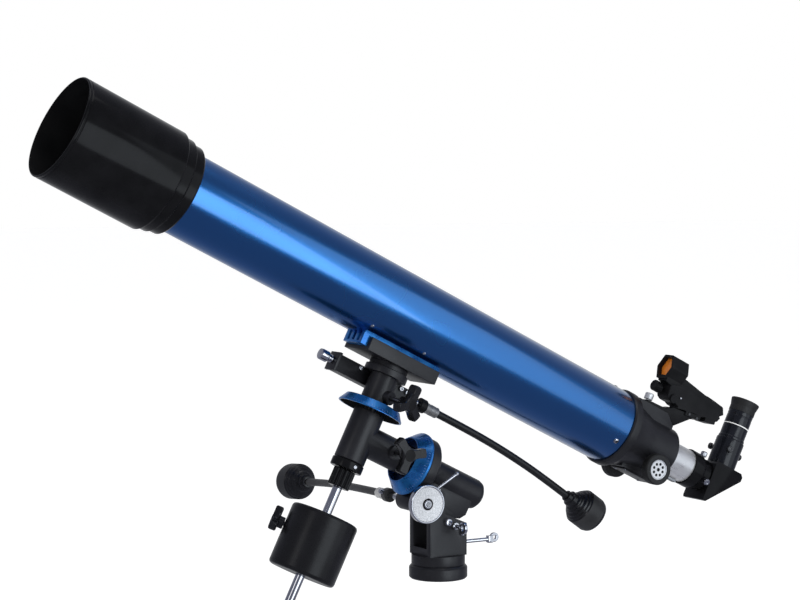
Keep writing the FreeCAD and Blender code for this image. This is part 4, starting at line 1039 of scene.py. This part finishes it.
KNOB_OUTLINE = [
    (0, 0), (7.5, 0), (7.5, 6), (10.5, 7), (10.5, 13), (13.5, 14.4), (14, 16), (15.6, 17), (16, 19.2),
    (19.6, 21),
    (20, 23.4), (22.2, 24.6), (22.6, 26.6), (24.5, 28), (24.5, 50), (23, 54.5), (19.5, 56.4), (18.5, 57.2),
    (12, 57.4), (11, 58), (0, 58),
]


def rim_number(radius, height):
    """The knob's fluted rim has the second finish."""
    return 1 if radius > 23.4 and 27.6 < height < 50.4 else 0


for node, route, sheath, length in (("dec_cable_knob", DEC_CABLE, dec_cable, 0.240),
                                    ("ra_cable_knob", RA_CABLE, ra_cable, 0.197)):
    last, before = Vector(route[-1]), Vector(route[-2])
    way = (last - before).normalized()
    knob = lathe(node + "_moulded", KNOB_OUTLINE, head(*last, tuple(way)), [KNOB_GLOSS, KNURL], 240, 0.35,
                 fluted(60, 0.9, 28.4, 49.6, 0.5), choose=rim_number)
    stands_for(knob, node)


# ---- declination axis ----

def ticks(name, count, long_every, radius, level, slope, width, lengths, material, place):
    """Marks round a cone: radius and level at their outer end, slope down the cone's side."""
    bm = bmesh.new()
    way = Vector(slope).normalized()
    for index in range(count):
        turn = 2 * math.pi * index / count
        length = lengths[1] if index % long_every == 0 else lengths[0]
        side = Vector((-math.sin(turn), math.cos(turn), 0)) * width / 2
        out = Vector((math.cos(turn), math.sin(turn), 0))
        first = out * radius + Vector((0, 0, level))
        last = out * (radius + way[0] * length) + Vector((0, 0, level + way[1] * length))
        corners = [first - side, first + side, last + side, last - side]
        bm.faces.new([bm.verts.new(place @ (corner * MM)) for corner in corners])
    return finish_mesh(name, bm, material)


MARK_LIFT = 0.0001
WORM_FLAT = math.radians(90)


def flat_sided(turn, height, radius):
    """The worm's thick end has one flat, for the cable's clamp screw."""
    inside = math.cos(turn - WORM_FLAT)
    return min(radius, 6.2 / inside) if height > 70 and inside > 0.2 else radius


def make_dec_head():
    """The saddle, the head under it and the worm that turns the tube slowly."""
    dressed("saddle", CASTING, 0.7)
    dressed("dec_head", CASTING, 0.6)
    dressed("dec_worm_housing", CASTING, 0.8)
    for number, (up, along) in enumerate(((80.5, 28.0), (80.5, -37.0), (79.5, -47.0))):
        rides(screw(f"dec_worm_screw_{number}", 6.4, 4.0, head(-16, up, along, (1, 0, 0)), CHROME),
              node_body["dec_worm_housing"])
    stands_for(lathe("dec_worm_turned", [
        (0, -80), (3.4, -80), (4, -79.2), (4, 63.2), (5.2, 63.2), (5.2, 65.2), (4.2, 65.8), (4.2, 66.6),
        (5.2, 67.2),
        (5.2, 69.4), (4.3, 69.8), (4.3, 71), (7.2, 71), (7.5, 71.5), (7.5, 81), (6.6, 82), (0, 82),
    ], head(-27, 75.5, 0), CHROME, 160, 0.2, flat_sided), "dec_worm_shaft")


def make_dec_circle():
    """The setting circle, blue on its outer cone and painted matt black underneath as painted shade under
    the dish, and its marks.
    """
    base = 34.6
    # The dish's hollow underside is given matt black: painted shade.
    circle = lathe("dec_dial", [
        (8.4, base + 8.5), (34, base + 8.5), (39.6, base), (42, base), (42.0, base + 0.9),
        (41.6, base + 1.6),
        (36.6, base + 9.6), (35.6, base + 11.5), (8.4, base + 11.5),
    ], DEC_AXIS, [DIAL, MATT_BLACK], 224, 0.3,
        choose=lambda radius, height: 1 if radius < 39.8 - (height - base) * 0.62 else 0)
    stands_for(circle, "dec_circle")
    marks = ticks("dec_marks", 72, 6, 41.45, base + 2.1, (-5.0, 8.0), 0.3, (2.2, 4.0), SCALE_MARK, DEC_AXIS)
    for vertex in marks.data.vertices:
        local = vertex.co - CROSSING
        vertex.co += (local - UP * local.dot(UP)).normalized() * MARK_LIFT
    rides(marks, "dec_circle")


def make_counterweight():
    """The declination housing and everything on the shaft below it."""
    dressed("dec_housing", CASTING, 0.7)
    stands_for(lathe("shaft_ring", [
        (8.05, -43.5), (19.6, -43.5), (20.6, -42.5), (20.6, -33.5), (19.6, -32.5), (8.05, -32.5),
    ], DEC_AXIS, ENAMEL, 144, 0.3), "shaft_collar")
    rides(screw("shaft_ring_screw", 5.0, 1.6, head(20.2, -38, 0, (1, 0, 0)), CHROME), "tube")
    nut = lathe("shaft_nut_turned", [
        (6.05, -67), (13.4, -67), (14.2, -66), (14.2, -45), (13.4, -44), (8.05, -44), (8.05, -50),
        (6.05, -50),
    ], DEC_AXIS, ENAMEL, 288, 0.3, fluted(12, 1.9, -68, -43, 0.5))
    stands_for(nut, "shaft_nut")
    stands_for(lathe("shaft_bar", [(0, -240), (5.2, -240), (6, -239.2), (6, -51), (0, -51)], DEC_AXIS,
                     CHROME, 96, 0.2), "counterweight_shaft")
    weight = lathe("weight_cast", [
        (6.3, -184), (39, -184), (41.8, -182.8), (43, -180), (43, -108), (41.8, -105.2), (39, -104),
        (6.3, -104),
    ], DEC_AXIS, IRON, 224, 1.2)
    stands_for(weight, "counterweight")
    end = lathe("end_stop", [
        (0, -250.6), (9, -250.6), (10, -249.6), (10, -243.6), (13.4, -242.8), (14, -242.2), (14, -240.6),
        (13.4, -240.1),
        (0, -240.1),
    ], DEC_AXIS, [PLASTIC, CHROME], 144, 0.3, fluted(24, 0.5, -249.4, -244, 0.5))
    stands_for(end, "safety_screw")


make_dec_head()
make_dec_circle()
make_counterweight()


# ---- right-ascension axis, fork and base ----

def cap_number(radius, height):
    """The worm cap's rim and boss are bright, and the groove round its boss is painted matt black as
    painted shade.
    """
    # The groove takes matt black: painted shade in the recess.
    if 5.5 < radius < 7.2 and height > 8:
        return 2
    return 1 if radius > 21.6 and height > 3.5 or radius < 5.5 and height > 9 else 0


def make_ra_circle():
    """The setting circle, whose recess round its middle is painted dark navy as painted shade; low is its
    underside.
    """
    low = -87.9
    dial = lathe("ra_dial", [
        (10.4, low), (39, low), (41.5, low + 1), (41.5, low + 3.5), (41.0, low + 4.3), (30.6, low + 16.8),
        (30, low + 17.6),
        (28.5, low + 17.6), (28.0, low + 16.5), (32.5, low + 6), (10.4, low + 6),
    ], POLAR_AXIS, [DIAL, DIAL_RECESS_SHADE], 224, 0.3,
        choose=lambda radius, height: 1 if height > low + 5 and radius < 28.9 else 0)
    stands_for(dial, "ra_circle")
    marks = ticks("ra_marks", 72, 6, 40.6, low + 4.9, (-10.4, 12.5), 0.3, (2.4, 4.4), SCALE_MARK,
                  POLAR_AXIS)
    for vertex in marks.data.vertices:
        vertex.co += ALONG * MARK_LIFT
    rides(marks, "ra_circle")


def make_polar_head():
    """The polar housing with its worm, and the fork, bolts and base that carry it."""
    dressed("polar_housing", CASTING, 0.7)
    dressed("ra_worm_shaft", CHROME, 0.3)
    cap = lathe("worm_cap_turned", [
        (0, 0), (6, 0), (6, 3), (23.3, 3), (24.3, 4), (24.3, 10), (23.5, 11), (22.2, 11), (21.4, 10.2),
        (7.6, 10.2),
        (6.6, 9.4), (5.8, 9.4), (5.4, 11), (4.4, 11.6), (0, 11.6),
    ], head(32.1, -42, -104, (1, 0, 0)), [SILVER, CHROME, MATT_BLACK], 160, 0.3, choose=cap_number)
    stands_for(cap, "worm_end_cap")
    rides(screw("worm_cap_screw", 6.4, 1.2, head(43.6, -42, -104, (1, 0, 0)), STEEL),
          node_body["worm_end_cap"])
    dressed("fork", CASTING, 0.8)
    for node in ("fork_bolts", "latitude_lever", "latitude_bolt", "azimuth_bolt"):
        dressed(node, CHROME, 0.4)
    stands_for(lathe("base_turned", [
        (4.2, 0), (35, 0), (37, 2), (37, 14), (35.6, 16), (33, 18), (5, 18), (5, 38), (4.2, 38),
    ], world(0, 0, 0), CASTING, 192, 0.4), "azimuth_base")


make_ra_circle()
make_polar_head()

bpy.context.view_layer.update()
